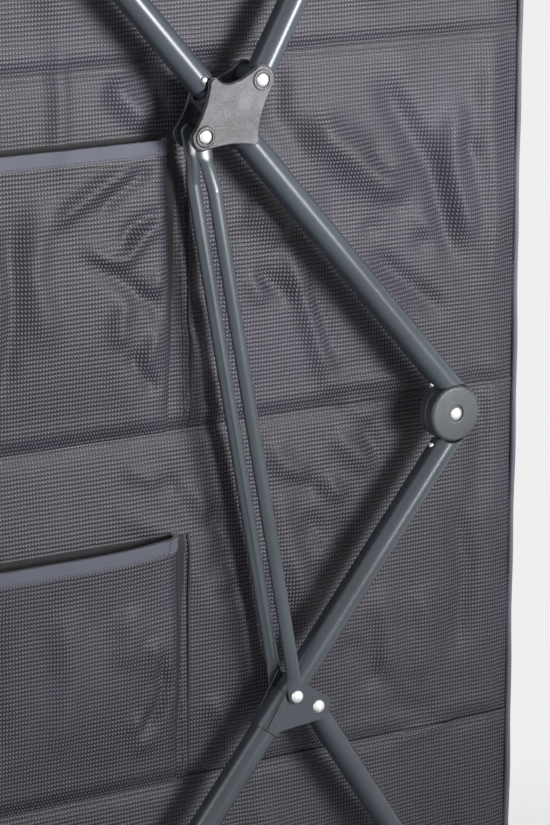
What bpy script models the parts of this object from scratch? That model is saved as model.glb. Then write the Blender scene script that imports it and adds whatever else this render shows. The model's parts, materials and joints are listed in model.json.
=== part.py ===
"""Fabric camp kitchen cupboard: a folding tube frame with a hung fabric body, boards and a worktop.

The side linkages lie in two planes, one on each side. Places on them are (y, z) pairs, and the
object stands on z = 0 with its door towards -Y.
"""

import math

import bmesh
import bpy
from mathutils import Matrix, Vector

MM = 0.001

# Overall sizes
DEPTH_BETWEEN_PINS = 436 * MM
FRAME_HALF_WIDTH = 260 * MM
RUNNING_GAP = 0.3 * MM
POCKET_SEAT_GAP = 0.8 * MM
OVERRUN = 2 * MM

# Tubes
TUBE_RADIUS = 8 * MM
LOWER_BRACE_RADIUS = 7.25 * MM
TUBE_SIDES = 16

# Side linkage at rest, as it stands open
PIN_HEIGHT = 35 * MM
LOWER_LEG_ANGLE = math.radians(51.3)
LOWER_LEG_LENGTH = 625 * MM
UPPER_LEG_LENGTH = 596 * MM
KNUCKLE_OFFSET = 9.8 * MM
LEG_END = 12 * MM
UPPER_PIN_SETBACK = 0.3103 * MM
UPPER_CATCH_INSET = 49.4682 * MM
UPPER_BRACE_OFFSET = 3.5 * MM
LOWER_BRACE_LENGTH = 262 * MM
STAY_PIVOT_ALONG = 252 * MM
STAY_PIVOT_OFFSET = 20.9 * MM
BRACE_PIVOT_ALONG = 249.5 * MM
BRACE_PIVOT_OFFSET = 25.9 * MM
RUNNER_STAY_ALONG = 191.8 * MM
RUNNER_STAY_OFFSET = -1.3 * MM
RUNNER_BRACE_ALONG = 189 * MM
RUNNER_BRACE_OFFSET = 17.6 * MM

# Knuckle between the two legs
KNUCKLE_RADIUS = 17 * MM
KNUCKLE_THICKNESS = 8 * MM
KNUCKLE_NECK_START = 19 * MM
KNUCKLE_NECK_RADIUS = 7.6 * MM
KNUCKLE_WEB_WIDTH = 14 * MM
KNUCKLE_WEB_STEP = 0.4 * MM
KNUCKLE_WEB_INSET = 2 * MM
TUBE_START = 25 * MM

# Rivets and pins
RIVET_RADIUS = 2.5 * MM
RIVET_HEAD_RADIUS = 4 * MM
RIVET_CROWN_RADIUS = 2.6 * MM
RIVET_HEAD_HEIGHT = 1.8 * MM
RIVET_SIDES = 12
PIN_RADIUS = 3 * MM
PIN_HEAD_RADIUS = 5.5 * MM
PIN_HEAD_HEIGHT = 2 * MM

# Moulded hub on the upper leg
HUB_INNER_FACE = 8.6 * MM
HUB_OUTER_FACE = 11.4 * MM
HUB_LOBE_RADIUS = 8.8 * MM
HUB_POINT_RADIUS = 2.5 * MM
HUB_TOP_POINT = (268 * MM, -0.9 * MM)
HUB_TIP_POINT = (226 * MM, 0.1 * MM)
HUB_SLEEVE = (228 * MM, 266 * MM)
HUB_SLEEVE_RADIUS = 10.2 * MM
HUB_SCALLOPS = ((262 * MM, -9 * MM), (259 * MM, 6 * MM), (236 * MM, 9 * MM), (236 * MM, -8 * MM))

# Stays, two flat bars on each side
STAY_WIDTH = 8.2 * MM
STAY_THICKNESS = 4.2 * MM
STAY_CENTRE = 11.7 * MM
STAY_TAB_THICKNESS = 2.4 * MM
STAY_TAB_WIDTH = 10 * MM
STAY_BAR_START = 13 * MM
STAY_JOGGLE_END = 30 * MM
STAY_BAR_END = 11 * MM

# Runner that slides on the lower leg
RUNNER_WALL = 1 * MM
RUNNER_SLEEVE = (193.5 * MM, 218 * MM)
RUNNER_EAR_RADIUS = 8.5 * MM
RUNNER_EAR_TOP = 183 * MM
RUNNER_EAR_EDGE = 8.6 * MM
RUNNER_EAR_SWEEP = math.radians(112)
RUNNER_EAR_LEAN = math.radians(15)

# Frame corners, feet and lugs
CORNER_SIZE = (20 * MM, 22 * MM, 34 * MM)
CORNER_STANDOUT = 8 * MM
CORNER_OUTER_FACE = FRAME_HALF_WIDTH + CORNER_STANDOUT
CORNER_BEVEL = 2.5 * MM
CORNER_Y = DEPTH_BETWEEN_PINS / 2
TOP_CORNER_DROP = 9 * MM
FOOT_RADIUS = 12 * MM
FOOT_TOP_RADIUS = 9 * MM
BOSS_RADIUS = 7.5 * MM
LUG_DEPTH = 18 * MM
LUG_SETOFF = 7 * MM
LUG_THICKNESS = 10.85 * MM
LUG_INSET = 8.8861 * MM
LUG_INNER_FACE = CORNER_OUTER_FACE + LUG_SETOFF
LUG_SHOULDER = 42 * MM
LUG_STEP = 1 * MM
LUG_RISE = 12 * MM
CLIP_LENGTH = 26 * MM
CLIP_WALL = 1.6 * MM

# Boards and worktop
BOARD_THICKNESS = 6 * MM
BOARD_BEVEL = 1.5 * MM
SHELF_LEVELS = (("shelf_low", 320 * MM), ("shelf_mid", 533 * MM), ("shelf_high", 746 * MM))
WORKTOP_THICKNESS = 13 * MM
WORKTOP_OVERHANG = 18 * MM
WORKTOP_HALF_WIDTH = FRAME_HALF_WIDTH + WORKTOP_OVERHANG
WORKTOP_END_OVERHANG = 7 * MM
WORKTOP_HALF_DEPTH = CORNER_Y + CORNER_SIZE[1] / 2 + WORKTOP_END_OVERHANG
WORKTOP_BEVEL = 3 * MM

# Fabric body
FABRIC_THICKNESS = 1.5 * MM
WALL_BOTTOM = 45 * MM
WALL_TOP_DROP = 8.8015 * MM
WALL_HEM = 40 * MM
WALL_BELLY = 3 * MM
WALL_STEPS = (6, 14)
SIDE_WALL_STEPS = (16, 26)

# Main folds of a side wall: its middle, the way it runs, half its length and how far it stands out
FOLD_WIDTH = 24 * MM
WALL_FOLDS = (
    (Vector((135 * MM, 815 * MM)), math.radians(122), 120 * MM, 3.2 * MM),
    (Vector((60 * MM, 850 * MM)), math.radians(112), 90 * MM, 2.2 * MM),
    (Vector((185 * MM, 690 * MM)), math.radians(105), 110 * MM, 2.4 * MM),
    (Vector((15 * MM, 650 * MM)), math.radians(94), 80 * MM, 1.8 * MM),
    (Vector((110 * MM, 430 * MM)), math.radians(60), 100 * MM, 2.2 * MM),
    (Vector((170 * MM, 230 * MM)), math.radians(118), 110 * MM, 2.2 * MM),
    (Vector((-110 * MM, 200 * MM)), math.radians(70), 100 * MM, 2.2 * MM),
)

# Pockets on a side wall: name, bottom, top, rear edge and how far the mouth stands open
POCKET_FRONT = 222 * MM
POCKET_THICKNESS = 1.2 * MM
POCKET_PUFF = 6 * MM
POCKET_PLEAT = 0.9 * MM
POCKET_PLEAT_COUNT = 5
POCKET_LEVELS = (
    ("upper", 536 * MM, 707 * MM, -13 * MM, 2 * MM),
    ("lower", 323 * MM, 472 * MM, -3 * MM, 6 * MM),
)
POCKET_STEPS = (14, 8)

# Zip along the door's foot
ZIP_INSET = 60 * MM
ZIP_X = FRAME_HALF_WIDTH - ZIP_INSET
ZIP_HEIGHT = 62 * MM
ZIP_SIZE = (16 * MM, 3 * MM, 9 * MM)
ZIP_TAB_SIZE = (6 * MM, 1.6 * MM, 30 * MM)

NAME = "camp_kitchen_cupboard"


def direction(angle):
    """A unit direction on the side plane, as (y, z)."""
    return Vector((math.cos(angle), math.sin(angle)))


def across(unit):
    """The direction to the right of a (y, z) direction."""
    return Vector((unit.y, -unit.x))


def fresh_scene():
    for obj in list(bpy.data.objects):
        bpy.data.objects.remove(obj, do_unlink=True)


fresh_scene()
PARTS = bpy.data.collections.new(NAME)
CUTTERS = bpy.data.collections.new("cutters")
for collection in (PARTS, CUTTERS):
    bpy.context.scene.collection.children.link(collection)


def material(name, colour, roughness, metallic=0.0):
    made = bpy.data.materials.new(name)
    made.use_nodes = True
    made.diffuse_color = (*colour, 1)
    shader = made.node_tree.nodes["Principled BSDF"]
    shader.inputs["Base Color"].default_value = (*colour, 1)
    shader.inputs["Roughness"].default_value = roughness
    shader.inputs["Metallic"].default_value = metallic
    return made


PAINTED = material("painted_tube", (0.085, 0.095, 0.105), 0.4, 0.6)
MOULDED = material("moulded_grey", (0.25, 0.26, 0.28), 0.45)
DARK_MOULDED = material("moulded_dark", (0.06, 0.065, 0.07), 0.5)
STEEL = material("bright_rivet", (0.7, 0.72, 0.74), 0.25, 1.0)
FABRIC = material("grey_fabric", (0.055, 0.052, 0.062), 0.85)
BOARD = material("shelf_board", (0.12, 0.12, 0.13), 0.6)
WORKTOP = material("worktop_laminate", (0.33, 0.34, 0.35), 0.4)


def mesh_object(name, build, matrix=Matrix()):
    """An object whose mesh a function fills in, with its place already in the mesh."""
    mesh = bpy.data.meshes.new(name)
    shape = bmesh.new()
    build(shape)
    bmesh.ops.transform(shape, matrix=matrix, verts=shape.verts)
    bmesh.ops.recalc_face_normals(shape, faces=shape.faces)
    shape.to_mesh(mesh)
    shape.free()
    return bpy.data.objects.new(name, mesh)


def cone(start, end, radius, end_radius=None, sides=TUBE_SIDES):
    """A round bar or a taper between two points."""
    start, end = Vector(start), Vector(end)
    run = end - start
    turn = run.to_track_quat("Z", "Y").to_matrix().to_4x4()
    matrix = Matrix.Translation((start + end) / 2) @ turn

    def build(shape):
        bmesh.ops.create_cone(
            shape,
            cap_ends=True,
            segments=sides,
            radius1=radius,
            radius2=radius if end_radius is None else end_radius,
            depth=run.length,
        )

    return mesh_object("round", build, matrix)


def block(centre, size, turn=0.0, bevel=0.0):
    """A box turned about the X axis, with its edges rounded where a bevel is given."""
    matrix = Matrix.Translation(centre) @ Matrix.Rotation(turn, 4, "X") @ Matrix.Diagonal((*size, 1))

    def build(shape):
        bmesh.ops.create_cube(shape, size=1, matrix=matrix)
        if bevel:
            bmesh.ops.bevel(shape, geom=shape.edges[:], offset=bevel, segments=2, profile=0.5, affect="EDGES")

    return mesh_object("block", build)


def plate(outline, x_low, x_high):
    """A flat piece whose (y, z) outline is a filled 2D curve with the thickness along X."""
    curve = bpy.data.curves.new("plate", "CURVE")
    curve.dimensions = "2D"
    curve.fill_mode = "BOTH"
    curve.extrude = (x_high - x_low) / 2
    spline = curve.splines.new("POLY")
    spline.points.add(len(outline) - 1)
    for point, (y, z) in zip(spline.points, outline):
        point.co = (y, z, 0, 1)
    spline.use_cyclic_u = True
    upright = Matrix(((0, 0, 1, (x_low + x_high) / 2), (1, 0, 0, 0), (0, 1, 0, 0), (0, 0, 0, 1)))
    return solid_of_curve(curve, upright)


def solid_of_curve(curve, matrix=Matrix()):
    """A curve made a closed mesh, because a Boolean takes only meshes."""
    guide = bpy.data.objects.new("guide", curve)
    bpy.context.scene.collection.objects.link(guide)
    graph = bpy.context.evaluated_depsgraph_get()
    mesh = bpy.data.meshes.new_from_object(guide.evaluated_get(graph))
    bpy.data.objects.remove(guide)
    shape = bmesh.new()
    shape.from_mesh(mesh)
    bmesh.ops.remove_doubles(shape, verts=shape.verts, dist=0.01 * MM)
    bmesh.ops.transform(shape, matrix=matrix, verts=shape.verts)
    bmesh.ops.recalc_face_normals(shape, faces=shape.faces)
    shape.to_mesh(mesh)
    shape.free()
    return bpy.data.objects.new("solid", mesh)


def flat_bar(points, width, thickness):
    """A bar of flat oval section along (x, y, z) points, its thin way along X."""
    squeeze = thickness / width
    curve = bpy.data.curves.new("bar", "CURVE")
    curve.dimensions = "3D"
    curve.bevel_depth = width / 2
    curve.bevel_resolution = 3
    curve.use_fill_caps = True
    spline = curve.splines.new("POLY")
    spline.points.add(len(points) - 1)
    for point, (x, y, z) in zip(spline.points, points):
        point.co = (x / squeeze, y, z, 1)
    return solid_of_curve(curve, Matrix.Diagonal((squeeze, 1, 1, 1)))


def arc(centre, radius, start, end, steps=6):
    """Points of an arc on the side plane."""
    turn = (end - start) / steps
    return [tuple(Vector(centre) + radius * direction(start + i * turn)) for i in range(steps + 1)]


def join(name, adds, cuts, finish, parent=None):
    """One piece made from solids that are added up and then cut, on its parent's axis."""
    made = adds[0]
    made.name = made.data.name = name
    made.data.materials.clear()
    made.data.materials.append(finish)
    PARTS.objects.link(made)
    for operation, tools in (("UNION", adds[1:]), ("DIFFERENCE", cuts)):
        for tool in tools:
            tool.name = f"{name}_{operation.lower()}"
            tool.hide_render = True
            tool.display_type = "WIRE"
            CUTTERS.objects.link(tool)
            boolean = made.modifiers.new(operation.title(), "BOOLEAN")
            boolean.operation = operation
            boolean.object = tool
    made.data.shade_smooth()
    made.data.set_sharp_from_angle(angle=math.radians(35))
    if parent:
        made.parent = parent
        made.matrix_parent_inverse = Matrix.Translation(parent.location).inverted()
    return made


def axis_empty(name, x, place):
    """The empty that stands on a joint's axis and carries a body's pieces."""
    made = bpy.data.objects.new(name, None)
    made.location = (x, *place)
    PARTS.objects.link(made)
    return made


def spot(x, place):
    """A point in space from x and a (y, z) place."""
    return Vector((x, place[0], place[1]))


# The linkage's places, worked out from its driving sizes
LOWER_DIRECTION = direction(math.pi + LOWER_LEG_ANGLE)
LOWER_OUTWARD = -across(LOWER_DIRECTION)
LOWER_PIN = Vector((-DEPTH_BETWEEN_PINS / 2, PIN_HEIGHT))
KNUCKLE = LOWER_PIN - LOWER_DIRECTION * LOWER_LEG_LENGTH - LOWER_OUTWARD * KNUCKLE_OFFSET
UPPER_LEG_REACH = KNUCKLE.x - LOWER_PIN.x - UPPER_PIN_SETBACK
UPPER_LEG_SPAN = math.hypot(UPPER_LEG_LENGTH, KNUCKLE_OFFSET)
UPPER_LEG_ANGLE = math.acos(UPPER_LEG_REACH / UPPER_LEG_SPAN) - math.atan2(KNUCKLE_OFFSET, UPPER_LEG_LENGTH)
UPPER_DIRECTION = direction(math.pi - UPPER_LEG_ANGLE)
UPPER_OUTWARD = across(UPPER_DIRECTION)


def on_lower(along, offset=0.0):
    """A place measured from the knuckle down the lower leg, and outwards from the leg's axis."""
    return KNUCKLE + LOWER_DIRECTION * along + LOWER_OUTWARD * (KNUCKLE_OFFSET + offset)


def on_upper(along, offset=0.0):
    """A place measured from the knuckle up the upper leg, and outwards from the leg's axis."""
    return KNUCKLE + UPPER_DIRECTION * along + UPPER_OUTWARD * (KNUCKLE_OFFSET + offset)


UPPER_PIN = on_upper(UPPER_LEG_LENGTH)
RAIL_HEIGHT = UPPER_PIN.y
STAY_PIVOT = on_upper(STAY_PIVOT_ALONG, -STAY_PIVOT_OFFSET)
BRACE_PIVOT = on_upper(BRACE_PIVOT_ALONG, BRACE_PIVOT_OFFSET)
RUNNER_STAY = on_lower(RUNNER_STAY_ALONG, RUNNER_STAY_OFFSET)
RUNNER_BRACE = on_lower(RUNNER_BRACE_ALONG, RUNNER_BRACE_OFFSET)
UPPER_BRACE_END = Vector((CORNER_Y - UPPER_CATCH_INSET, RAIL_HEIGHT))
UPPER_BRACE_RUN = UPPER_BRACE_END - BRACE_PIVOT
UPPER_BRACE_LEAN = math.asin(UPPER_BRACE_OFFSET / UPPER_BRACE_RUN.length)
UPPER_BRACE_DIRECTION = direction(math.atan2(UPPER_BRACE_RUN.y, UPPER_BRACE_RUN.x) + UPPER_BRACE_LEAN)
LOWER_BRACE_REACH = CORNER_Y - LUG_INSET - RUNNER_BRACE.x
LOWER_BRACE_DIRECTION = direction(-math.acos(LOWER_BRACE_REACH / LOWER_BRACE_LENGTH))
UPPER_BRACE_START = BRACE_PIVOT + across(UPPER_BRACE_DIRECTION) * UPPER_BRACE_OFFSET
LOWER_BRACE_END = RUNNER_BRACE + LOWER_BRACE_DIRECTION * LOWER_BRACE_LENGTH
UPPER_CLIP_RADIUS = TUBE_RADIUS + CLIP_WALL
LOWER_CLIP_RADIUS = LOWER_BRACE_RADIUS + CLIP_WALL
RUNNER_OUTER_FACE = TUBE_RADIUS + RUNNING_GAP + RUNNER_WALL
LUG_FACE = LUG_INNER_FACE + LUG_THICKNESS
LINKAGE_HALF_WIDTH = LUG_FACE + LOWER_CLIP_RADIUS + RUNNING_GAP
CATCH_FACE = LINKAGE_HALF_WIDTH - UPPER_CLIP_RADIUS - RUNNING_GAP
BOSS_FACE = LINKAGE_HALF_WIDTH - TUBE_RADIUS - RUNNING_GAP
PIN_END = LINKAGE_HALF_WIDTH + TUBE_RADIUS + RUNNING_GAP
CORNER_INNER_FACE = CORNER_OUTER_FACE - CORNER_SIZE[0]
CORNER_END = CORNER_Y + CORNER_SIZE[1] / 2
WALL_INNER_FACE = CORNER_OUTER_FACE + RUNNING_GAP
WALL_OUTER_FACE = WALL_INNER_FACE + FABRIC_THICKNESS
WALL_TOP = RAIL_HEIGHT - WALL_TOP_DROP
DOOR_INNER_FACE = CORNER_END + RUNNING_GAP
DOOR_OUTER_FACE = DOOR_INNER_FACE + FABRIC_THICKNESS
BASE_BOARD_BOTTOM = PIN_HEIGHT + TUBE_RADIUS + RUNNING_GAP
WORKTOP_BOTTOM = RAIL_HEIGHT + TUBE_RADIUS + RUNNING_GAP
SIDES = (("left", -1), ("right", 1))
ENDS = (("front", -1), ("rear", 1))


def beside(side, near, far):
    """Two distances from the linkage's mid plane, as X places in rising order."""
    places = (side * LINKAGE_HALF_WIDTH + near, side * LINKAGE_HALF_WIDTH + far)
    return min(places), max(places)


def rivet(name, side, place, reach, parent):
    """A through rivet with a domed head on both faces of what it holds."""
    middle = side * LINKAGE_HALF_WIDTH
    shank = reach + RIVET_HEAD_HEIGHT / 2
    solids = [cone(spot(middle - shank, place), spot(middle + shank, place), RIVET_RADIUS, sides=RIVET_SIDES)]
    for way in (-1, 1):
        face = spot(middle + way * reach, place)
        crown = spot(middle + way * (reach + RIVET_HEAD_HEIGHT), place)
        solids.append(cone(face, crown, RIVET_HEAD_RADIUS, RIVET_CROWN_RADIUS, RIVET_SIDES))
    return join(name, solids, [], STEEL, parent)


def rivet_hole(side, place, reach):
    middle = side * LINKAGE_HALF_WIDTH
    low, high = (spot(middle + way * (reach + OVERRUN), place) for way in (-1, 1))
    return cone(low, high, RIVET_RADIUS + RUNNING_GAP, sides=RIVET_SIDES)


def ring_points(centre, radius, steps=24):
    return arc(centre, radius, 0, math.tau * (1 - 1 / steps), steps - 1)


def leg_with_hole(name, side, start, end, pin, parent):
    """A leg tube with the cross hole for its corner pin."""
    middle = side * LINKAGE_HALF_WIDTH
    reach = TUBE_RADIUS + OVERRUN
    hole = cone(spot(middle - reach, pin), spot(middle + reach, pin), PIN_RADIUS + RUNNING_GAP, sides=RIVET_SIDES)
    return join(name, [cone(spot(middle, start), spot(middle, end), TUBE_RADIUS)], [hole], PAINTED, parent)


def knuckle_half(name, side, on_leg, way, parent):
    """One moulded disc of the knuckle, with the round neck that the leg's tube is pushed on to."""
    near, far = beside(side, side * way * RUNNING_GAP / 2, side * way * KNUCKLE_THICKNESS)
    middle = side * LINKAGE_HALF_WIDTH
    disc = plate(ring_points(KNUCKLE, KNUCKLE_RADIUS), near, far)
    neck_start, neck_end = on_leg(KNUCKLE_NECK_START), on_leg(TUBE_START - RUNNING_GAP)
    neck = cone(spot(middle, neck_start), spot(middle, neck_end), KNUCKLE_NECK_RADIUS)
    half = KNUCKLE_WEB_WIDTH / 2
    web_end = (KNUCKLE_NECK_START + TUBE_START) / 2
    corners = ((0, -half), (web_end, -half), (web_end, half), (0, half - KNUCKLE_WEB_INSET))
    web_face = RUNNING_GAP / 2 + KNUCKLE_WEB_STEP
    web_near, web_far = beside(side, side * way * web_face, side * way * (KNUCKLE_NECK_RADIUS - RUNNING_GAP))
    web = plate([tuple(on_leg(*corner)) for corner in corners], web_near, web_far)
    hole = rivet_hole(side, KNUCKLE, KNUCKLE_THICKNESS)
    return join(name, [disc, web, neck], [hole], MOULDED, parent)


def scalloped(lobes, scallops, steps=4):
    """An outline of round lobes joined by hollow curves, given going round anticlockwise."""
    outline = []
    for i, (centre, radius) in enumerate(lobes):
        before, after = Vector(scallops[i - 1]), Vector(scallops[i])
        centre = Vector(centre)
        arrive = (before - centre).orthogonal().normalized()
        leave = -(after - centre).orthogonal().normalized()
        first = math.atan2(arrive.y, arrive.x)
        last = math.atan2(leave.y, leave.x)
        if last < first:
            last += math.tau
        outline += arc(centre, radius, first, last)
        next_centre, next_radius = lobes[(i + 1) % len(lobes)]
        next_centre = Vector(next_centre)
        start = centre + leave * radius
        end = next_centre + (after - next_centre).orthogonal().normalized() * next_radius
        for step in range(1, steps):
            share = step / steps
            bend = start * (1 - share) ** 2 + after * 2 * share * (1 - share) + end * share**2
            outline.append(tuple(bend))
    return outline


def hub(name, side, parent):
    """The moulded hub: two scalloped plates on a sleeve that grips the upper leg."""
    lobes = (
        (STAY_PIVOT, HUB_LOBE_RADIUS),
        (on_upper(*HUB_TIP_POINT), HUB_POINT_RADIUS),
        (BRACE_PIVOT, HUB_LOBE_RADIUS),
        (on_upper(*HUB_TOP_POINT), HUB_POINT_RADIUS),
    )
    left_top, right_top, right_low, left_low = (on_upper(*place) for place in HUB_SCALLOPS)
    outline = scalloped(lobes, (left_low, right_low, right_top, left_top))
    middle = side * LINKAGE_HALF_WIDTH
    low, high = (on_upper(along) for along in HUB_SLEEVE)
    solids = [cone(spot(middle, low), spot(middle, high), HUB_SLEEVE_RADIUS)]
    for way in (-1, 1):
        solids.append(plate(outline, *beside(side, way * HUB_INNER_FACE, way * HUB_OUTER_FACE)))
    far_low = on_upper(HUB_SLEEVE[0] - LEG_END)
    far_high = on_upper(HUB_SLEEVE[1] + LEG_END)
    bore = cone(spot(middle, far_low), spot(middle, far_high), TUBE_RADIUS + RUNNING_GAP)
    holes = [rivet_hole(side, place, HUB_OUTER_FACE) for place in (STAY_PIVOT, BRACE_PIVOT)]
    return join(name, solids, [bore, *holes], MOULDED, parent)


def tab(side, near, far, centre, towards, length):
    """A flat tab with a round end at a pivot, running towards another place."""
    way = (Vector(towards) - Vector(centre)).normalized()
    heading = math.atan2(way.y, way.x)
    radius = STAY_TAB_WIDTH / 2
    outline = arc(centre, radius, heading + math.pi / 2, heading + math.pi * 3 / 2)
    outline += [tuple(Vector(centre) + way * length + across(way) * radius * turn) for turn in (1, -1)]
    return plate(outline, *beside(side, near, far))


def stay(name, side, way, parent):
    """One flat bar from the hub's clevis to the runner, with a pressed tab at each end."""
    run = (RUNNER_STAY - STAY_PIVOT).length
    along = (RUNNER_STAY - STAY_PIVOT).normalized()
    middle = side * LINKAGE_HALF_WIDTH
    top_far = HUB_INNER_FACE - RUNNING_GAP
    top_near = top_far - STAY_TAB_THICKNESS
    low_near = RUNNER_OUTER_FACE + RUNNING_GAP
    low_far = low_near + STAY_TAB_THICKNESS
    places = (
        ((top_near + top_far) / 2, STAY_BAR_START),
        (STAY_CENTRE, STAY_JOGGLE_END),
        (STAY_CENTRE, run - STAY_BAR_END),
    )
    points = [spot(middle + way * x, STAY_PIVOT + along * distance) for x, distance in places]
    solids = [
        flat_bar(points, STAY_WIDTH, STAY_THICKNESS),
        tab(side, way * top_near, way * top_far, STAY_PIVOT, RUNNER_STAY, STAY_BAR_START + OVERRUN),
        tab(side, way * low_near, way * low_far, RUNNER_STAY, STAY_PIVOT, STAY_BAR_END + OVERRUN),
    ]
    face = spot(middle + way * (low_far - RUNNING_GAP), RUNNER_STAY)
    crown = spot(middle + way * (low_far + RIVET_HEAD_HEIGHT), RUNNER_STAY)
    solids.append(cone(face, crown, RIVET_HEAD_RADIUS, RIVET_CROWN_RADIUS, RIVET_SIDES))
    return join(name, solids, [rivet_hole(side, STAY_PIVOT, HUB_OUTER_FACE)], PAINTED, parent)


def runner(name, side, parent):
    """The sheet bracket that wraps the lower leg and slides on it, with the lower brace's rivet."""
    middle = side * LINKAGE_HALF_WIDTH
    low, high = (on_lower(along) for along in RUNNER_SLEEVE)
    solids = [cone(spot(middle, low), spot(middle, high), RUNNER_OUTER_FACE)]
    heading = math.atan2(LOWER_OUTWARD.y, LOWER_OUTWARD.x)
    foot = RUNNER_SLEEVE[1]
    outline = [tuple(on_lower(*place)) for place in ((foot, 0), (foot, -RUNNER_EAR_EDGE / 2))]
    outline += [tuple(on_lower(*place)) for place in ((RUNNER_EAR_TOP, -RUNNER_EAR_EDGE), (RUNNER_EAR_TOP, 0))]
    lean = heading + RUNNER_EAR_LEAN
    half_sweep = RUNNER_EAR_SWEEP / 2
    outline += arc(RUNNER_BRACE, RUNNER_EAR_RADIUS, lean + half_sweep, lean - half_sweep)
    for way in (-1, 1):
        solids.append(plate(outline, *beside(side, way * (RUNNER_OUTER_FACE - RUNNER_WALL), way * RUNNER_OUTER_FACE)))
    ends = [spot(middle + way * RUNNER_OUTER_FACE, RUNNER_BRACE) for way in (-1, 1)]
    solids.append(cone(ends[0], ends[1], RIVET_RADIUS, sides=RIVET_SIDES))
    for way, end in zip((-1, 1), ends):
        base = end - Vector((way * RUNNING_GAP, 0, 0))
        crown = end + Vector((way * RIVET_HEAD_HEIGHT, 0, 0))
        solids.append(cone(base, crown, RIVET_HEAD_RADIUS, RIVET_CROWN_RADIUS, RIVET_SIDES))
    far_low, far_high = on_lower(RUNNER_EAR_TOP - LEG_END), on_lower(RUNNER_SLEEVE[1] + LEG_END)
    bore = cone(spot(middle, far_low), spot(middle, far_high), TUBE_RADIUS + RUNNING_GAP)
    return join(name, solids, [bore], PAINTED, parent)


def brace(name, side, radius, pivot, start, end, parent):
    """A brace tube with a rounded end on its rivet, stopping short of its clip."""
    middle = side * LINKAGE_HALF_WIDTH
    way = (end - start).normalized()
    reach = radius - RUNNING_GAP
    solids = [
        cone(spot(middle, start), spot(middle, end - way * (CLIP_LENGTH + RUNNING_GAP)), radius),
        cone(spot(middle - reach, pivot), spot(middle + reach, pivot), radius),
    ]
    return join(name, solids, [rivet_hole(side, pivot, radius)], PAINTED, parent)


def clip(name, side, radius, start, end, parent):
    """The moulded cap at a brace's far end, which sits against its catch."""
    middle = side * LINKAGE_HALF_WIDTH
    way = (end - start).normalized()
    return join(
        name,
        [cone(spot(middle, end - way * CLIP_LENGTH), spot(middle, end + way * radius), radius)],
        [],
        DARK_MOULDED,
        parent,
    )


def corner(name, side, end, height, parent, pin=None, foot=False, lug=False):
    """A moulded frame corner, with its foot, pivot pin or brace lug where it has one."""
    x = side * (CORNER_OUTER_FACE - CORNER_SIZE[0] / 2)
    y = end * CORNER_Y
    solids = [block((x, y, height), CORNER_SIZE, bevel=CORNER_BEVEL)]
    if foot:
        solids.append(cone((x, y, 0), (x, y, height), FOOT_RADIUS, FOOT_TOP_RADIUS))
    if pin is not None:
        inner = side * (CORNER_OUTER_FACE - OVERRUN)
        solids.append(cone(spot(inner, pin), spot(side * BOSS_FACE, pin), BOSS_RADIUS))
        inner = side * (BOSS_FACE - OVERRUN)
        outer = side * (PIN_END + PIN_HEAD_HEIGHT / 2)
        solids.append(cone(spot(inner, pin), spot(outer, pin), PIN_RADIUS, sides=RIVET_SIDES))
        head = side * (PIN_END + PIN_HEAD_HEIGHT)
        solids.append(cone(spot(side * PIN_END, pin), spot(head, pin), PIN_HEAD_RADIUS, RIVET_HEAD_RADIUS, RIVET_SIDES))
    if lug:
        low = height - CORNER_SIZE[2] / 2 + CORNER_BEVEL
        arm_depth = LUG_DEPTH - LUG_STEP * 2
        root_depth = CORNER_SIZE[1] - CORNER_BEVEL * 2 - LUG_STEP
        blocks = (
            (LUG_INNER_FACE, LUG_FACE, LOWER_BRACE_END.x, LUG_DEPTH, low, LOWER_BRACE_END.y + LUG_RISE),
            (WALL_INNER_FACE, LUG_FACE - LUG_STEP, LOWER_BRACE_END.x, arm_depth, low + LUG_STEP, LUG_SHOULDER),
            (
                CORNER_OUTER_FACE - OVERRUN,
                WALL_INNER_FACE + OVERRUN,
                y,
                root_depth,
                low + LUG_STEP * 2,
                LUG_SHOULDER - LUG_STEP,
            ),
        )
        for inner, outer, middle, depth, bottom, top in blocks:
            centre = (side * (inner + outer) / 2, middle, (bottom + top) / 2)
            solids.append(block(centre, (outer - inner, depth, top - bottom)))
    return join(name, solids, [], DARK_MOULDED, parent)


def side_rail(name, side, height, parent, catch=None):
    """A rail between two corners, with the catch for a brace where it has one."""
    reach = CORNER_Y - CORNER_SIZE[1] / 2 - RUNNING_GAP
    x = side * FRAME_HALF_WIDTH
    solids = [cone((x, -reach, height), (x, reach, height), TUBE_RADIUS)]
    if catch is not None:
        solids.append(cone(spot(x, catch), spot(side * CATCH_FACE, catch), BOSS_RADIUS - RUNNING_GAP))
    return join(name, solids, [], PAINTED, parent)


def crossbar(name, end, height, parent):
    reach = CORNER_INNER_FACE - RUNNING_GAP
    ends = [(way * reach, end * CORNER_Y, height) for way in (-1, 1)]
    return join(name, [cone(ends[0], ends[1], TUBE_RADIUS)], [], PAINTED, parent)


def board(name, bottom, half_width, half_depth, thickness, bevel, finish, parent):
    size = (half_width * 2, half_depth * 2, thickness)
    return join(name, [block((0, 0, bottom + thickness / 2), size, bevel=bevel)], [], finish, parent)


def belly(height):
    """How far the cloth stands out between the boards, as a share of its most."""
    levels = [WALL_BOTTOM + WALL_HEM, *(level + BOARD_THICKNESS / 2 for _, level in SHELF_LEVELS), WALL_TOP]
    for low, high in zip(levels, levels[1:]):
        if low <= height <= high:
            return math.sin(math.pi * (height - low) / (high - low))
    return 0.0


def swell(sideways, height, half_span):
    """How far a wall bellies out at a place on it."""
    return WALL_BELLY * belly(height) * (1 - (sideways / half_span) ** 2)


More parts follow.
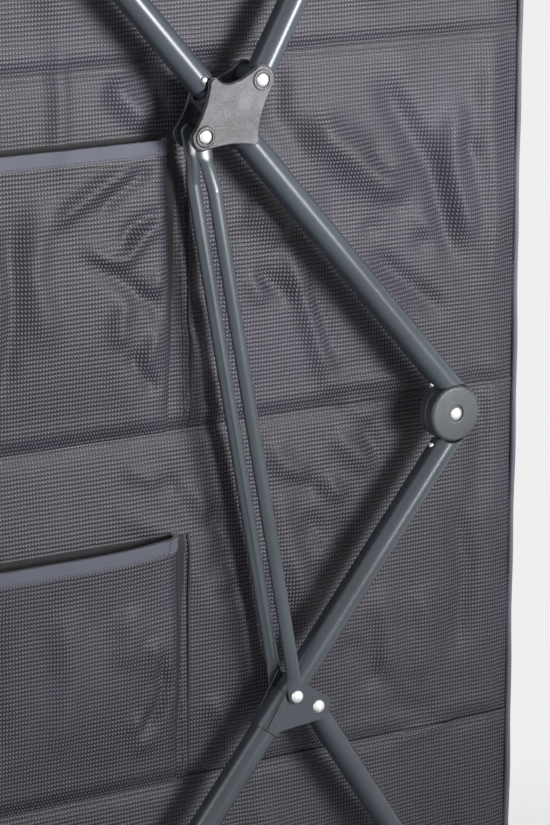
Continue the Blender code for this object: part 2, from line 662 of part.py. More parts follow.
def folds(sideways, height):
    """How far the main folds stand out at a place on a side wall. The boards press them flat."""
    total = 0.0
    for middle, heading, half_length, rise in WALL_FOLDS:
        offset = Vector((sideways, height)) - middle
        along, aside = offset.dot(direction(heading)), offset.dot(across(direction(heading)))
        total += rise * math.exp(-((along / half_length) ** 2) - (aside / FOLD_WIDTH) ** 2)
    return total * belly(height) * (1 - (sideways / CORNER_END) ** 4)


def cloth(name, low, high, steps, inner, thickness, axis):
    """A closed sheet over a (sideways, height) range, whose inner face follows a function."""

    def build(shape):
        bmesh.ops.create_grid(shape, x_segments=steps[0], y_segments=steps[1], size=1)
        for vert in shape.verts:
            sideways = (low[0] * (1 - vert.co.x) + high[0] * (1 + vert.co.x)) / 2
            height = (low[1] * (1 - vert.co.y) + high[1] * (1 + vert.co.y)) / 2
            vert.co = (inner(sideways, height), sideways, height)
        raised = bmesh.ops.extrude_face_region(shape, geom=shape.faces[:])
        for vert in (item for item in raised["geom"] if isinstance(item, bmesh.types.BMVert)):
            vert.co.x += thickness

    turn = Matrix() if axis == "X" else Matrix.Rotation(-math.pi / 2, 4, "Z")
    return join(name, [mesh_object(name, build, turn)], [], FABRIC)


def side_wall(name, side):
    """A hung side of the body, nipped at each board, with its main folds between them."""

    def inner(sideways, height):
        return side * (WALL_INNER_FACE + swell(sideways, height, CORNER_END) + folds(sideways, height))

    low, high = (-CORNER_END, WALL_BOTTOM), (CORNER_END, WALL_TOP)
    cloth(name, low, high, SIDE_WALL_STEPS, inner, side * FABRIC_THICKNESS, "X")


def end_wall(name, way):
    """The body's back or its door, flat at each board and a little proud between them."""

    def inner(sideways, height):
        return way * (DOOR_INNER_FACE + swell(sideways, height, WALL_OUTER_FACE))

    low, high = (-WALL_OUTER_FACE, WALL_BOTTOM), (WALL_OUTER_FACE, WALL_TOP)
    cloth(name, low, high, WALL_STEPS, inner, way * FABRIC_THICKNESS, "Y")


def pocket(name, side, bottom, top, rear, mouth):
    """A pocket sewn down at its sides and foot, pleated and standing open along its top."""

    def inner(sideways, height):
        across_share = (sideways + POCKET_FRONT) / (rear + POCKET_FRONT)
        up_share = (height - bottom) / (top - bottom)
        full = POCKET_PUFF * math.sin(math.pi * up_share) + mouth * up_share**2
        pleat = POCKET_PLEAT * math.sin(math.pi * POCKET_PLEAT_COUNT * across_share) * up_share
        proud = max(full * math.sin(math.pi * across_share) + pleat, 0)
        under = swell(sideways, height, CORNER_END) + folds(sideways, height)
        return side * (WALL_OUTER_FACE + POCKET_SEAT_GAP + under + proud)

    low, high = (-POCKET_FRONT, bottom), (rear, top)
    cloth(name, low, high, POCKET_STEPS, inner, side * POCKET_THICKNESS, "X")


def base_frame(parent):
    for side_name, side in SIDES:
        side_rail(f"base_rail_{side_name}", side, PIN_HEIGHT, parent)
        for end_name, end in ENDS:
            name = f"base_corner_{end_name}_{side_name}"
            pin = LOWER_PIN if end < 0 else None
            corner(name, side, end, PIN_HEIGHT, parent, pin, foot=True, lug=end > 0)
    for end_name, end in ENDS:
        crossbar(f"base_crossbar_{end_name}", end, PIN_HEIGHT, parent)
    half_width = CORNER_INNER_FACE - RUNNING_GAP
    half_depth = CORNER_END
    board("base_board", BASE_BOARD_BOTTOM, half_width, half_depth, BOARD_THICKNESS, BOARD_BEVEL, BOARD, parent)


def top_frame(parent):
    for side_name, side in SIDES:
        side_rail(f"top_rail_{side_name}", side, RAIL_HEIGHT, parent, UPPER_BRACE_END)
        for end_name, end in ENDS:
            name = f"top_corner_{end_name}_{side_name}"
            corner(name, side, end, RAIL_HEIGHT - TOP_CORNER_DROP, parent, UPPER_PIN if end < 0 else None)
    for end_name, end in ENDS:
        crossbar(f"top_crossbar_{end_name}", end, RAIL_HEIGHT, parent)
    board(
        "worktop",
        WORKTOP_BOTTOM,
        WORKTOP_HALF_WIDTH,
        WORKTOP_HALF_DEPTH,
        WORKTOP_THICKNESS,
        WORKTOP_BEVEL,
        WORKTOP,
        parent,
    )


def linkage(side_name, side, axes):
    """One side's folding linkage: legs, knuckle, hub, stays, runner and braces."""
    lower_end = LOWER_PIN + LOWER_DIRECTION * LEG_END
    upper_end = UPPER_PIN + UPPER_DIRECTION * LEG_END
    leg_with_hole(f"lower_leg_{side_name}", side, on_lower(TUBE_START), lower_end, LOWER_PIN, axes["lower_legs"])
    leg_with_hole(f"upper_leg_{side_name}", side, on_upper(TUBE_START), upper_end, UPPER_PIN, axes["upper_legs"])
    knuckle_half(f"lower_knuckle_{side_name}", side, on_lower, -1, axes["lower_legs"])
    knuckle_half(f"upper_knuckle_{side_name}", side, on_upper, 1, axes["upper_legs"])
    hub(f"hub_{side_name}", side, axes["upper_legs"])
    reach = HUB_OUTER_FACE + RUNNING_GAP
    rivet(f"knuckle_rivet_{side_name}", side, KNUCKLE, KNUCKLE_THICKNESS + RUNNING_GAP, axes["lower_legs"])
    rivet(f"stay_rivet_{side_name}", side, STAY_PIVOT, reach, axes["upper_legs"])
    rivet(f"brace_rivet_{side_name}", side, BRACE_PIVOT, reach, axes["upper_legs"])
    stay(f"stay_outer_{side_name}", side, side, axes["stays"])
    stay(f"stay_inner_{side_name}", side, -side, axes["stays"])
    runner(f"runner_{side_name}", side, axes["runners"])
    upper = (side, TUBE_RADIUS, BRACE_PIVOT, UPPER_BRACE_START, UPPER_BRACE_END)
    lower = (side, LOWER_BRACE_RADIUS, RUNNER_BRACE, RUNNER_BRACE, LOWER_BRACE_END)
    brace(f"upper_brace_{side_name}", *upper, axes["upper_braces"])
    brace(f"lower_brace_{side_name}", *lower, axes["lower_braces"])
    clip(f"upper_clip_{side_name}", side, UPPER_CLIP_RADIUS, *upper[3:], axes["upper_braces"])
    clip(f"lower_clip_{side_name}", side, LOWER_CLIP_RADIUS, *lower[3:], axes["lower_braces"])


def fabric_body():
    """The hung cloth: two sides, back and front, and the pockets on the sides."""
    for side_name, side in SIDES:
        side_wall(f"side_wall_{side_name}", side)
        for level_name, bottom, top, rear, mouth in POCKET_LEVELS:
            pocket(f"pocket_{level_name}_{side_name}", side, bottom, top, rear, mouth)
    end_wall("back_wall", -1)
    end_wall("front_door", 1)


def zip_slider():
    """The slider and pull of the zip along the door's foot."""
    y = -(DOOR_OUTER_FACE + RUNNING_GAP + ZIP_SIZE[1] / 2)
    body = block((ZIP_X, y, ZIP_HEIGHT), ZIP_SIZE, bevel=ZIP_SIZE[1] / 4)
    pull = block((ZIP_X, y - ZIP_SIZE[1] / 2, ZIP_HEIGHT - ZIP_TAB_SIZE[2] / 2), ZIP_TAB_SIZE)
    join("zip_slider", [body, pull], [], DARK_MOULDED)


def main():
    places = {
        "lower_legs": LOWER_PIN,
        "upper_legs": KNUCKLE,
        "top": UPPER_PIN,
        "stays": STAY_PIVOT,
        "upper_braces": BRACE_PIVOT,
        "runners": RUNNER_STAY,
        "lower_braces": RUNNER_BRACE,
    }
    axes = {name: axis_empty(f"{name}_axis", 0, place) for name, place in places.items()}
    base_frame(None)
    for side_name, side in SIDES:
        linkage(side_name, side, axes)
    top_frame(axes["top"])
    for name, level in SHELF_LEVELS:
        board(name, level, CORNER_OUTER_FACE, CORNER_END, BOARD_THICKNESS, BOARD_BEVEL, BOARD, None)
    fabric_body()
    zip_slider()


main()
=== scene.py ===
"""Fabric camp kitchen cupboard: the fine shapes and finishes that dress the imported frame.

A place on a side linkage is a (y, z) pair, in metres. The cupboard stands on z = 0 with its
door towards -Y, and the side that the camera sees looks towards +X.
"""

from __future__ import annotations

import json
import logging
import math
from dataclasses import dataclass, field
from enum import Enum
from functools import cache, partial
from typing import Any, Callable, Iterable, Sequence

import bmesh
import bpy
import numpy as np
from mathutils import Matrix, Vector


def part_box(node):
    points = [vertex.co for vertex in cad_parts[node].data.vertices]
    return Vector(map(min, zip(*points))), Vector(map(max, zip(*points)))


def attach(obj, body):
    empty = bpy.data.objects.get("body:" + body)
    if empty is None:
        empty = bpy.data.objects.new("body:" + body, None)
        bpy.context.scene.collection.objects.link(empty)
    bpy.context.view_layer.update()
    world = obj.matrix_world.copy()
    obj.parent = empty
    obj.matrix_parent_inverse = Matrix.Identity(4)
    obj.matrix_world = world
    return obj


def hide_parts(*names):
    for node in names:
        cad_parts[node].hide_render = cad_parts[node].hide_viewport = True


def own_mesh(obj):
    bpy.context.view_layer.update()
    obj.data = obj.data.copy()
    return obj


MM = 0.001
LOG = logging.getLogger("cupboard")
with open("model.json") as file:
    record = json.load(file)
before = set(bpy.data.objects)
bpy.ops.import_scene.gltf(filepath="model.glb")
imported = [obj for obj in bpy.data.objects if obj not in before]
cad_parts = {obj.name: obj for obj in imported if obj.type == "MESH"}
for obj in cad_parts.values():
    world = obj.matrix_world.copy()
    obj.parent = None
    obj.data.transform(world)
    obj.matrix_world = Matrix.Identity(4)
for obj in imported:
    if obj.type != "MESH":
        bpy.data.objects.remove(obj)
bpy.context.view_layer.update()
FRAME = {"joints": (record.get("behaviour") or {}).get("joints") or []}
SHELVES = ("low", "mid", "high")

Piece = bpy.types.Object
Socket = bpy.types.NodeSocket
Rows = np.ndarray
Place = Sequence[float]
Lengths = Sequence[float]
Profile = list[tuple[float, float]]
Colour = tuple[float, float, float]


def mm(*lengths: float) -> Place:
    """Lengths or a place given in millimetres, in metres."""
    return tuple(length * MM for length in lengths)


class Handed(Enum):
    """Two opposite ends of an axis, each with its sign."""

    @property
    def word(self) -> str:
        """The name as it stands in a node's name."""
        return self.name.lower()


class Side(Handed):
    """The two sides of the cupboard, each with the sign of its X."""

    LEFT = -1
    RIGHT = 1


class End(Handed):
    """The front and the rear, each with the sign of its Y."""

    FRONT = -1
    REAR = 1


class Ring(Enum):
    """The two rings of the frame, each named as its body is."""

    BASE = "base"
    TOP = "top"


class Slot(Enum):
    """The record's material slots."""

    PAINT = "painted_tube"
    GREY = "moulded_grey"
    DARK = "moulded_dark"
    RIVET = "bright_rivet"
    CLOTH = "grey_fabric"
    BOARD = "shelf_board"
    WORKTOP = "worktop_laminate"
    ZIP = "zip_metal"


def direction(angle: float) -> Vector:
    """A unit (y, z) direction at an angle from +Y."""
    return Vector((math.cos(angle), math.sin(angle)))


def across(unit: Vector) -> Vector:
    """The (y, z) direction to the right of another."""
    return Vector((unit.y, -unit.x))


def joint_place(name: str) -> Vector:
    """The (y, z) place of the named joint's axis."""
    joint = next(item for item in FRAME["joints"] if item["name"] == name)
    return Vector(joint["pos_m"][1:])


# Shader maths


def make_node(
    tree: bpy.types.NodeTree, kind: str, settings: dict[str, Any], inputs: dict[Any, Any]
) -> bpy.types.Node:
    """Makes a node of any type in any tree.

    Args:
        tree: the material's, the world's or the geometry's tree.
        kind: the node's type.
        settings: its own settings, such as a Math node's operation.
        inputs: values or links of its sockets, by name or index.

    Returns:
        The node.
    """
    node = tree.nodes.new(kind)
    for key, value in settings.items():
        setattr(node, key, value)
    for key, value in inputs.items():
        if isinstance(value, Socket):
            tree.links.new(value, node.inputs[key])
        else:
            node.inputs[key].default_value = value
    return node


class Signal:
    """A shader socket that takes part in Python expressions, each of which adds its Math nodes."""

    def __init__(self, graph: Graph, socket: Socket) -> None:
        """Wraps one output socket of a graph."""
        self.graph, self.socket = graph, socket

    def math(self, operation: str, *others: Signal | float, first: float | None = None) -> Signal:
        """A Math node on this value and the others, or on a number that goes before it."""
        values = (self, *others) if first is None else (first, self)
        return self.graph.add("ShaderNodeMath", dict(enumerate(values)), operation=operation)

    def __add__(self, other: Signal | float) -> Signal:
        """The sum."""
        return self.math("ADD", other)

    def __sub__(self, other: Signal | float) -> Signal:
        """The difference."""
        return self.math("SUBTRACT", other)

    def __rsub__(self, other: float) -> Signal:
        """A number less this value."""
        return self.math("SUBTRACT", first=other)

    def __mul__(self, other: Signal | float) -> Signal:
        """The product."""
        return self.math("MULTIPLY", other)

    def __truediv__(self, other: Signal | float) -> Signal:
        """The quotient."""
        return self.math("DIVIDE", other)

    __radd__ = __add__
    __rmul__ = __mul__

    def smooth(self, low: float, high: float) -> Signal:
        """A smooth step from 0 at low to 1 at high."""
        inputs = {"Value": self, "From Min": low, "From Max": high}
        return self.graph.add("ShaderNodeMapRange", inputs, interpolation_type="SMOOTHSTEP")

    def wave(self, pitch: float) -> Signal:
        """A cosine of this length, from 0 to 1 and back once in each pitch."""
        return (self * (math.tau / pitch)).math("COSINE") * 0.5 + 0.5


class Graph:
    """A material's node tree, built up from one method that makes any node."""

    def __init__(self, name: str) -> None:
        """Starts a material with an empty tree.

        Args:
            name: the material's name.
        """
        self.material = bpy.data.materials.new(name)
        self.material.use_nodes = True
        self.tree = self.material.node_tree
        self.tree.nodes.clear()

    def add(self, kind: str, inputs: dict[Any, Any], output: str | int = 0, **settings: Any) -> Signal:
        """Makes a node of any type, with values or signals for its inputs, and gives one output."""
        plain = {key: getattr(value, "socket", value) for key, value in inputs.items()}
        return Signal(self, make_node(self.tree, kind, settings, plain).outputs[output])

    def noise(self, where: Signal, scale: float, detail: float = 3.0, roughness: float = 0.55) -> Signal:
        """A noise value about 0.5 over places."""
        inputs = {"Vector": where, "Scale": scale, "Detail": detail, "Roughness": roughness}
        return self.add("ShaderNodeTexNoise", inputs, "Fac")

    def mix(self, share: Signal | float, low: Any, high: Any) -> Signal:
        """A colour between two others."""
        return self.add("ShaderNodeMix", {0: share, 6: low, 7: high}, 2, data_type="RGBA")

    def places(self, stretch: Place = (1.0, 1.0, 1.0)) -> Signal:
        """Object coordinates, stretched along an axis where a grain runs one way."""
        where = self.add("ShaderNodeTexCoord", {}, "Object")
        return self.add("ShaderNodeMapping", {"Vector": where, "Scale": stretch})

    def cloth_places(self) -> tuple[Signal, Signal]:
        """How far across and up its own cloth a point lies, in metres."""
        split = self.add("ShaderNodeSeparateXYZ", {0: self.add("ShaderNodeUVMap", {}, uv_map="cloth")})
        return split, Signal(self, split.socket.node.outputs[1])

    def bump(self, height: Signal, strength: float, distance: float) -> Signal:
        """A normal from a height."""
        return self.add("ShaderNodeBump", {"Height": height, "Strength": strength, "Distance": distance})

    def dress(self, **values: Any) -> bpy.types.Material:
        """Makes the shader, whose sockets' names have spaces where the keys have underscores.

        Args:
            values: what its sockets get.

        Returns:
            The material.
        """
        inputs = {key.replace("_", " "): value for key, value in values.items()}
        surface = self.add("ShaderNodeBsdfPrincipled", inputs).socket
        make_node(self.tree, "ShaderNodeOutputMaterial", {}, {"Surface": surface})
        return self.material


def rgba(colour: Colour, gain: float = 1.0) -> tuple[float, ...]:
    """A colour with its alpha, lightened or darkened by a gain."""
    return (*(channel * gain for channel in colour), 1.0)


def screen(*values: int) -> Colour:
    """A linear colour from the 0 to 255 values that a screen shows, by the sRGB curve."""
    shares = (value / 255 for value in values)
    return tuple(share / 12.92 if share <= 0.04045 else ((share + 0.055) / 1.055) ** 2.4 for share in shares)


# Finishes


@dataclass(frozen=True)
class Finish:
    """A named finish of one slot, whose material is built once."""

    name: str
    slot: Slot
    colour: Colour
    roughness: float

    @cache
    def material(self) -> bpy.types.Material:
        """The finish's material."""
        graph = Graph(self.name)
        return graph.dress(**self.sockets(graph, graph.places()))

    def sockets(self, graph: Graph, where: Signal) -> dict[str, Any]:
        """Works out what the shader's sockets get, from the material's tree and Object coordinates."""
        raise NotImplementedError


@dataclass(frozen=True)
class Paint(Finish):
    """Satin paint on a steel tube, with a faint orange-peel skin and rubbed marks."""

    rubbed: Colour = screen(120, 125, 130)

    def sockets(self, graph: Graph, where: Signal) -> dict[str, Any]:
        """The paint's tone, gloss and skin.

        Args:
            graph: the material's tree.
            where: Object coordinates.

        Returns:
            The values and signals, by socket.
        """
        cloud = graph.noise(where, 14, 2)
        speck = graph.noise(where, 420, 3, 0.7)
        scuff = graph.noise(graph.places((90.0, 90.0, 900.0)), 1.0, 2, 0.6).smooth(0.66, 0.8)
        tone = graph.mix(cloud.smooth(0.35, 0.7), rgba(self.colour, 0.9), rgba(self.colour, 1.08))
        return {
            "Base_Color": graph.mix(scuff * speck.smooth(0.5, 0.7) * 0.5, tone, rgba(self.rubbed)),
            "Roughness": (cloud - 0.5) * 0.12 + scuff * 0.08 + self.roughness,
            "Specular_IOR_Level": 0.68,
            "Normal": graph.bump(graph.noise(where, 900, 2), 0.12, 0.2 * MM),
        }


@dataclass(frozen=True)
class Moulding(Finish):
    """Moulded plastic or cast metal with a fine grain and a cloudy skin."""

    cloud: float = 0.12
    grain: float = 0.25

    def sockets(self, graph: Graph, where: Signal) -> dict[str, Any]:
        """The moulding's cloudy tone and its grain.

        Args:
            graph: the material's tree.
            where: Object coordinates.

        Returns:
            The values and signals, by socket.
        """
        cloud = graph.noise(where, 60, 4, 0.6)
        fine = graph.noise(where, 700, 3, 0.7)
        low, high = rgba(self.colour, 1 - self.cloud), rgba(self.colour, 1 + self.cloud)
        tone = graph.mix(cloud.smooth(0.3, 0.72), low, high)
        pale = rgba(self.colour, 1 + self.cloud * 2.2)
        return {
            "Base_Color": graph.mix(fine.smooth(0.55, 0.75) * 0.35, tone, pale),
            "Roughness": (cloud - 0.5) * 0.16 + self.roughness,
            "Normal": graph.bump(fine * 0.6 + graph.noise(where, 2200, 2) * 0.4, self.grain, 0.3 * MM),
        }


@dataclass(frozen=True)
class BrightMetal(Finish):
    """Plated metal with fine turning marks."""

    def sockets(self, graph: Graph, where: Signal) -> dict[str, Any]:
        """The plating's smears.

        Args:
            graph: the material's tree.
            where: Object coordinates.

        Returns:
            The values and signals, by socket.
        """
        smear = graph.noise(where, 300, 3, 0.6)
        return {
            "Base_Color": graph.mix(smear.smooth(0.4, 0.7), rgba(self.colour, 0.88), rgba(self.colour)),
            "Roughness": (smear - 0.5) * 0.14 + self.roughness,
            "Metallic": 1.0,
            "Normal": graph.bump(graph.noise(where, 1600, 2), 0.06, 0.1 * MM),
        }


@dataclass(frozen=True)
class DottedCloth(Finish):
    """The body's cloth: rows of short pale floats that lean a little, on a dark ground.

    The pattern reads the piece's own UV map, which is in metres, so it follows the cloth.
    """

    thread: Colour = screen(116, 111, 128)
    dot_pitch: float = 1.95 * MM
    row_pitch: float = 2.5 * MM

    def sockets(self, graph: Graph, where: Signal) -> dict[str, Any]:
        """The weave's tone and its ribs.

        Args:
            graph: the material's tree.
            where: Object coordinates.

        Returns:
            The values and signals, by socket.
        """
        u, v = graph.cloth_places()
        drift = (graph.noise(where, 55, 2) - 0.5) * 0.4
        rows, columns = v / self.row_pitch + drift, u / self.dot_pitch + drift
        rib, column, lean = rows.wave(1.0), columns.wave(1.0), (rows + columns).wave(1.0)
        dot = (rib * 0.32 + column * 0.34 + lean * 0.34).smooth(0.42, 0.84)
        fibre = graph.noise(graph.places((1.0, 2.4, 1.0)), 1300, 3, 0.7)
        tone = graph.mix(dot * (fibre * 0.5 + 0.62), rgba(self.colour), rgba(self.thread))
        cloud = graph.noise(where, 9, 3)
        return {
            "Base_Color": graph.mix(cloud.smooth(0.35, 0.75) * 0.16, tone, rgba(self.thread)),
            "Roughness": self.roughness - dot * 0.12,
            "Specular_IOR_Level": 0.36,
            "Normal": graph.bump(rib * 0.5 + dot * 0.5 + fibre * 0.12, 0.55, 0.6 * MM),
            "Sheen_Weight": 0.1,
            "Sheen_Roughness": 0.4,
        }


@dataclass(frozen=True)
class Tape(Finish):
    """Woven tape, as on bindings and seams, with a fine diagonal rib."""

    pitch: float = 1.1 * MM

    def sockets(self, graph: Graph, where: Signal) -> dict[str, Any]:
        """The tape's ribs and fibres.

        Args:
            graph: the material's tree.
            where: Object coordinates.

        Returns:
            The values and signals, by socket.
        """
        u, v = graph.cloth_places()
        rib = (u + v * 0.6).wave(self.pitch)
        weft = (v - u * 0.6).wave(self.pitch * 0.7)
        fibre = graph.noise(where, 1500, 3, 0.7)
        share = rib * 0.45 + weft * 0.2 + fibre * 0.35
        tone = graph.mix(share, rgba(self.colour, 0.8), rgba(self.colour, 1.16))
        cloud = graph.noise(where, 40, 3)
        return {
            "Base_Color": graph.mix(cloud.smooth(0.4, 0.75) * 0.3, tone, rgba(self.colour, 1.3)),
            "Roughness": self.roughness,
            "Normal": graph.bump(rib * 0.6 + weft * 0.3 + fibre * 0.2, 0.4, 0.3 * MM),
            "Sheen_Weight": 0.1,
        }


@dataclass(frozen=True)
class Laminate(Finish):
    """Laminate on a board, with a fine speckle."""

    speck: Colour

    def sockets(self, graph: Graph, where: Signal) -> dict[str, Any]:
        """The laminate's speckle.

        Args:
            graph: the material's tree.
            where: Object coordinates.

        Returns:
            The values and signals, by socket.
        """
        fleck = graph.noise(where, 520, 3, 0.75)
        cloud = graph.noise(where, 18, 4, 0.6)
        tone = graph.mix(cloud.smooth(0.3, 0.75), rgba(self.colour, 0.93), rgba(self.colour, 1.06))
        return {
            "Base_Color": graph.mix(fleck.smooth(0.56, 0.66) * 0.6, tone, rgba(self.speck)),
            "Roughness": (fleck - 0.5) * 0.2 + self.roughness,
            "Normal": graph.bump(fleck, 0.15, 0.2 * MM),
        }


PAINT = Paint("satin_paint", Slot.PAINT, screen(66, 74, 83), 0.27)
CASTING = Moulding("hub_casting", Slot.GREY, screen(77, 79, 86), 0.36, 0.9, 0.9)
NYLON = Moulding("knuckle_nylon", Slot.GREY, screen(74, 78, 84), 0.38, 0.25, 0.5)
DARK = Moulding("dark_nylon", Slot.DARK, screen(34, 36, 40), 0.5, 0.12, 0.3)
RUBBER = Moulding("foot_rubber", Slot.DARK, screen(36, 37, 40), 0.72, 0.1, 0.5)
PULL = Moulding("pull_nylon", Slot.ZIP, screen(34, 36, 40), 0.5, 0.12, 0.3)
EDGING = Moulding("worktop_edging", Slot.WORKTOP, screen(44, 46, 50), 0.38, 0.08, 0.15)
RIVET = BrightMetal("bright_metal", Slot.RIVET, (0.93, 0.94, 0.93), 0.34)
TEETH = BrightMetal("zip_metal", Slot.ZIP, (0.82, 0.83, 0.84), 0.34)
CLOTH = DottedCloth("dotted_cloth", Slot.CLOTH, screen(13, 13, 17), 0.46)
BINDING = Tape("grey_binding", Slot.CLOTH, screen(98, 100, 113), 0.7)
# Dark tape: its own colour on the zip, the loops and the seams; on the pockets the same colour is painted
# shade, in their rear creases and mouths.
TAPE_AND_SHADE = Tape("dark_tape", Slot.CLOTH, screen(20, 19, 23), 0.7)
PIPING = Tape("pale_piping", Slot.CLOTH, screen(120, 122, 134), 0.7, 0.9 * MM)
THREAD = Moulding("sewing_thread", Slot.CLOTH, screen(84, 84, 93), 0.6, 0.2, 0.5)
BOARD = Laminate("board_laminate", Slot.BOARD, screen(84, 85, 88), 0.42, screen(112, 113, 116))
STONE = Laminate("worktop_stone", Slot.WORKTOP, screen(150, 151, 153), 0.42, screen(196, 197, 198))


# Mesh building

SMOOTH_ANGLE = math.radians(38)
MERGE = 0.002 * MM
ROUND_SIDES = 48
HELPERS: list[Piece] = []


def spot(x: float, place: Place) -> Vector:
    """A point in space from x and a (y, z) place."""
    return Vector((x, place[0], place[1]))


def arc(centre: Place, radius: float, start: float, end: float, steps: int) -> list[Vector]:
    """Points of an arc on the side plane, both ends among them."""
    turn = (end - start) / steps
    return [Vector(centre) + radius * direction(start + i * turn) for i in range(steps + 1)]


def quarter(steps: int) -> list[float]:
    """The angles of a quarter turn, both ends among them."""
    return [i * math.pi / 2 / steps for i in range(steps + 1)]


def rounded(length: float, radius: float, edge: float) -> Profile:
    """The profile of a bar with rounded ends: (along, radius) pairs from one pole to the other.

    Args:
        length: the bar's.
        radius: the bar's.
        edge: its rims' rounding.

    Returns:
        (along, radius) pairs, from one pole to the other.
    """
    first = [(edge * (1 - math.cos(turn)), radius - edge * (1 - math.sin(turn))) for turn in quarter(5)]
    last = [(length - along, size) for along, size in reversed(first)]
    return [(0.0, 0.0), *first, *last, (length, 0.0)]


class Shape:
    """One piece's mesh, built up from turned bars, plates, lofts and blocks."""

    def __init__(self) -> None:
        """Starts an empty mesh."""
        self.mesh = bmesh.new()

    def turned(
        self,
        start: Vector,
        end: Vector,
        profile: Iterable[Place],
        sides: int = ROUND_SIDES,
        loop: bool = False,
    ) -> Shape:
        """Adds a lathed bar.

        Args:
            start: where the profile's zero lies.
            end: a point that the axis runs towards.
            profile: (along, radius) pairs; a radius of 0 is a pole.
            sides: the faces round it.
            loop: whether the profile closes on itself, round a bore.

        Returns:
            The shape.
        """
        way = (end - start).normalized()
        side_way = way.orthogonal().normalized()
        third_way = way.cross(side_way)
        rings = []
        for along, radius in profile:
            turns = [math.tau * i / sides for i in range(sides)] if radius > 0 else [0.0]
            rim = [radius * (side_way * math.cos(turn) + third_way * math.sin(turn)) for turn in turns]
            rings.append([start + way * along + point for point in rim])
        return self.skin(rings, loop)

    def bar(self, start: Vector, end: Vector, radius: float, edge: float, sides: int = ROUND_SIDES) -> Shape:
        """Adds a round bar between two points, with rounded ends."""
        return self.turned(start, end, rounded((end - start).length, radius, edge), sides)

    def sleeve(self, start: Vector, end: Vector, bore: float, radius: float, edge: float) -> Shape:
        """Adds a round sleeve with a bore right through it and rounded outer rims.

        Args:
            start: the middle of one end.
            end: the middle of the other.
            bore: the hole's radius.
            radius: the outer radius.
            edge: the outer rims' rounding.

        Returns:
            This shape.
        """
        length = (end - start).length
        outside = rounded(length, radius, edge)[1:-1]
        return self.turned(start, end, [(0.0, bore), *outside, (length, bore)], loop=True)

    def skin(self, rings: Sequence[Sequence[Vector]], loop: bool = False) -> Shape:
        """Adds a skin over rings, shut at both ends, or with the last ring joined to the first.

        Args:
            rings: points, as many in each ring; a ring of one is a pole.
            loop: whether it closes on itself.

        Returns:
            The shape.
        """
        made = [[self.mesh.verts.new(point) for point in ring] for ring in rings]
        pairs = list(zip(made, made[1:])) + ([(made[-1], made[0])] if loop else [])
        for low, high in pairs:
            for i in range(max(len(low), len(high))):
                j = i + 1
                corners = [low[i % len(low)], low[j % len(low)], high[j % len(high)], high[i % len(high)]]
                self.mesh.faces.new(list(dict.fromkeys(corners)))
        for ring in (made[0], made[-1]):
            if len(ring) > 1 and not loop:
                self.mesh.faces.new(ring)
        return self

    def prism(self, outline: Sequence[Vector], rise: Vector, edge: float, segments: int) -> Shape:
        """Adds a solid between an outline and its copy a rise away, with rounded rims.

        Args:
            outline: points in space on one plane.
            rise: the way and the thickness, along one axis.
            edge: the rims' rounding.
            segments: the steps in it.

        Returns:
            The shape.
        """
        part = bmesh.new()
        base = part.faces.new([part.verts.new(point) for point in outline])
        raised = bmesh.ops.extrude_face_region(part, geom=[base])
        for vert in (item for item in raised["geom"] if isinstance(item, bmesh.types.BMVert)):
            vert.co += rise
        bmesh.ops.recalc_face_normals(part, faces=part.faces)
        flat = rise.normalized()
        rims = [item for item in part.edges if abs((item.verts[0].co - item.verts[1].co).dot(flat)) < MERGE]
        bmesh.ops.bevel(part, geom=rims, offset=edge, segments=segments, profile=0.5, affect="EDGES")
        return self.take(part)

    def plate(
        self, outline: Sequence[Place], ends: tuple[float, float], edge: float, segments: int = 3
    ) -> Shape:
        """Adds a plate with a (y, z) outline between two x, with rounded rims."""
        low, high = sorted(ends)
        return self.prism([spot(low, place) for place in outline], Vector((high - low, 0, 0)), edge, segments)

    def block(self, first: Place, second: Place, edge: float, segments: int = 3) -> Shape:
        """Adds a box between two opposite corners, with rounded edges.

        Args:
            first: one corner.
            second: the corner opposite.
            edge: the edges' rounding.
            segments: the steps in it.

        Returns:
            This shape.
        """
        part = bmesh.new()
        low, high = (Vector(pick(pair) for pair in zip(first, second)) for pick in (min, max))
        size = Matrix.Diagonal((*(high - low), 1))
        bmesh.ops.create_cube(part, size=1, matrix=Matrix.Translation((low + high) / 2) @ size)
        bmesh.ops.bevel(part, geom=part.edges[:], offset=edge, segments=segments, profile=0.5, affect="EDGES")
        return self.take(part)

    def take(self, part: bmesh.types.BMesh) -> Shape:
        """Moves another mesh into this one.

        Args:
            part: the other mesh, which is freed.

        Returns:
            This shape.
        """
        mesh = bpy.data.meshes.new("part")
        part.to_mesh(mesh)
        part.free()
        self.mesh.from_mesh(mesh)
        bpy.data.meshes.remove(mesh)
        return self

    def finish(self, name: str, finish: Finish) -> Piece:
        """Closes the mesh and makes it an object at the origin, smooth but for its sharp edges.

        Args:
            name: the object's.
            finish: its material.

        Returns:
            The object.
        """
        bmesh.ops.remove_doubles(self.mesh, verts=self.mesh.verts, dist=MERGE)
        bmesh.ops.recalc_face_normals(self.mesh, faces=self.mesh.faces)
        mesh = bpy.data.meshes.new(name)
        self.mesh.to_mesh(mesh)
        self.mesh.free()
        mesh.materials.append(finish.material())
        mesh.shade_smooth()
        mesh.set_sharp_from_angle(angle=SMOOTH_ANGLE)
        piece = link(name, mesh)
        piece.modifiers.new("weighted", "WEIGHTED_NORMAL").keep_sharp = True
        return settled(piece)

    def fit(self, name: str, finish: Finish, body: str) -> Piece:
        """Finishes a piece that no node has, and hands it over."""
        return place_piece(self.finish(name, finish), finish, body)

    def dress(self, node: str, finish: Finish, body: str) -> Piece:
        """Finishes the piece that stands for a node, and hands it over."""
        return place_piece(self.finish(f"dressed_{node}", finish), finish, body, node)

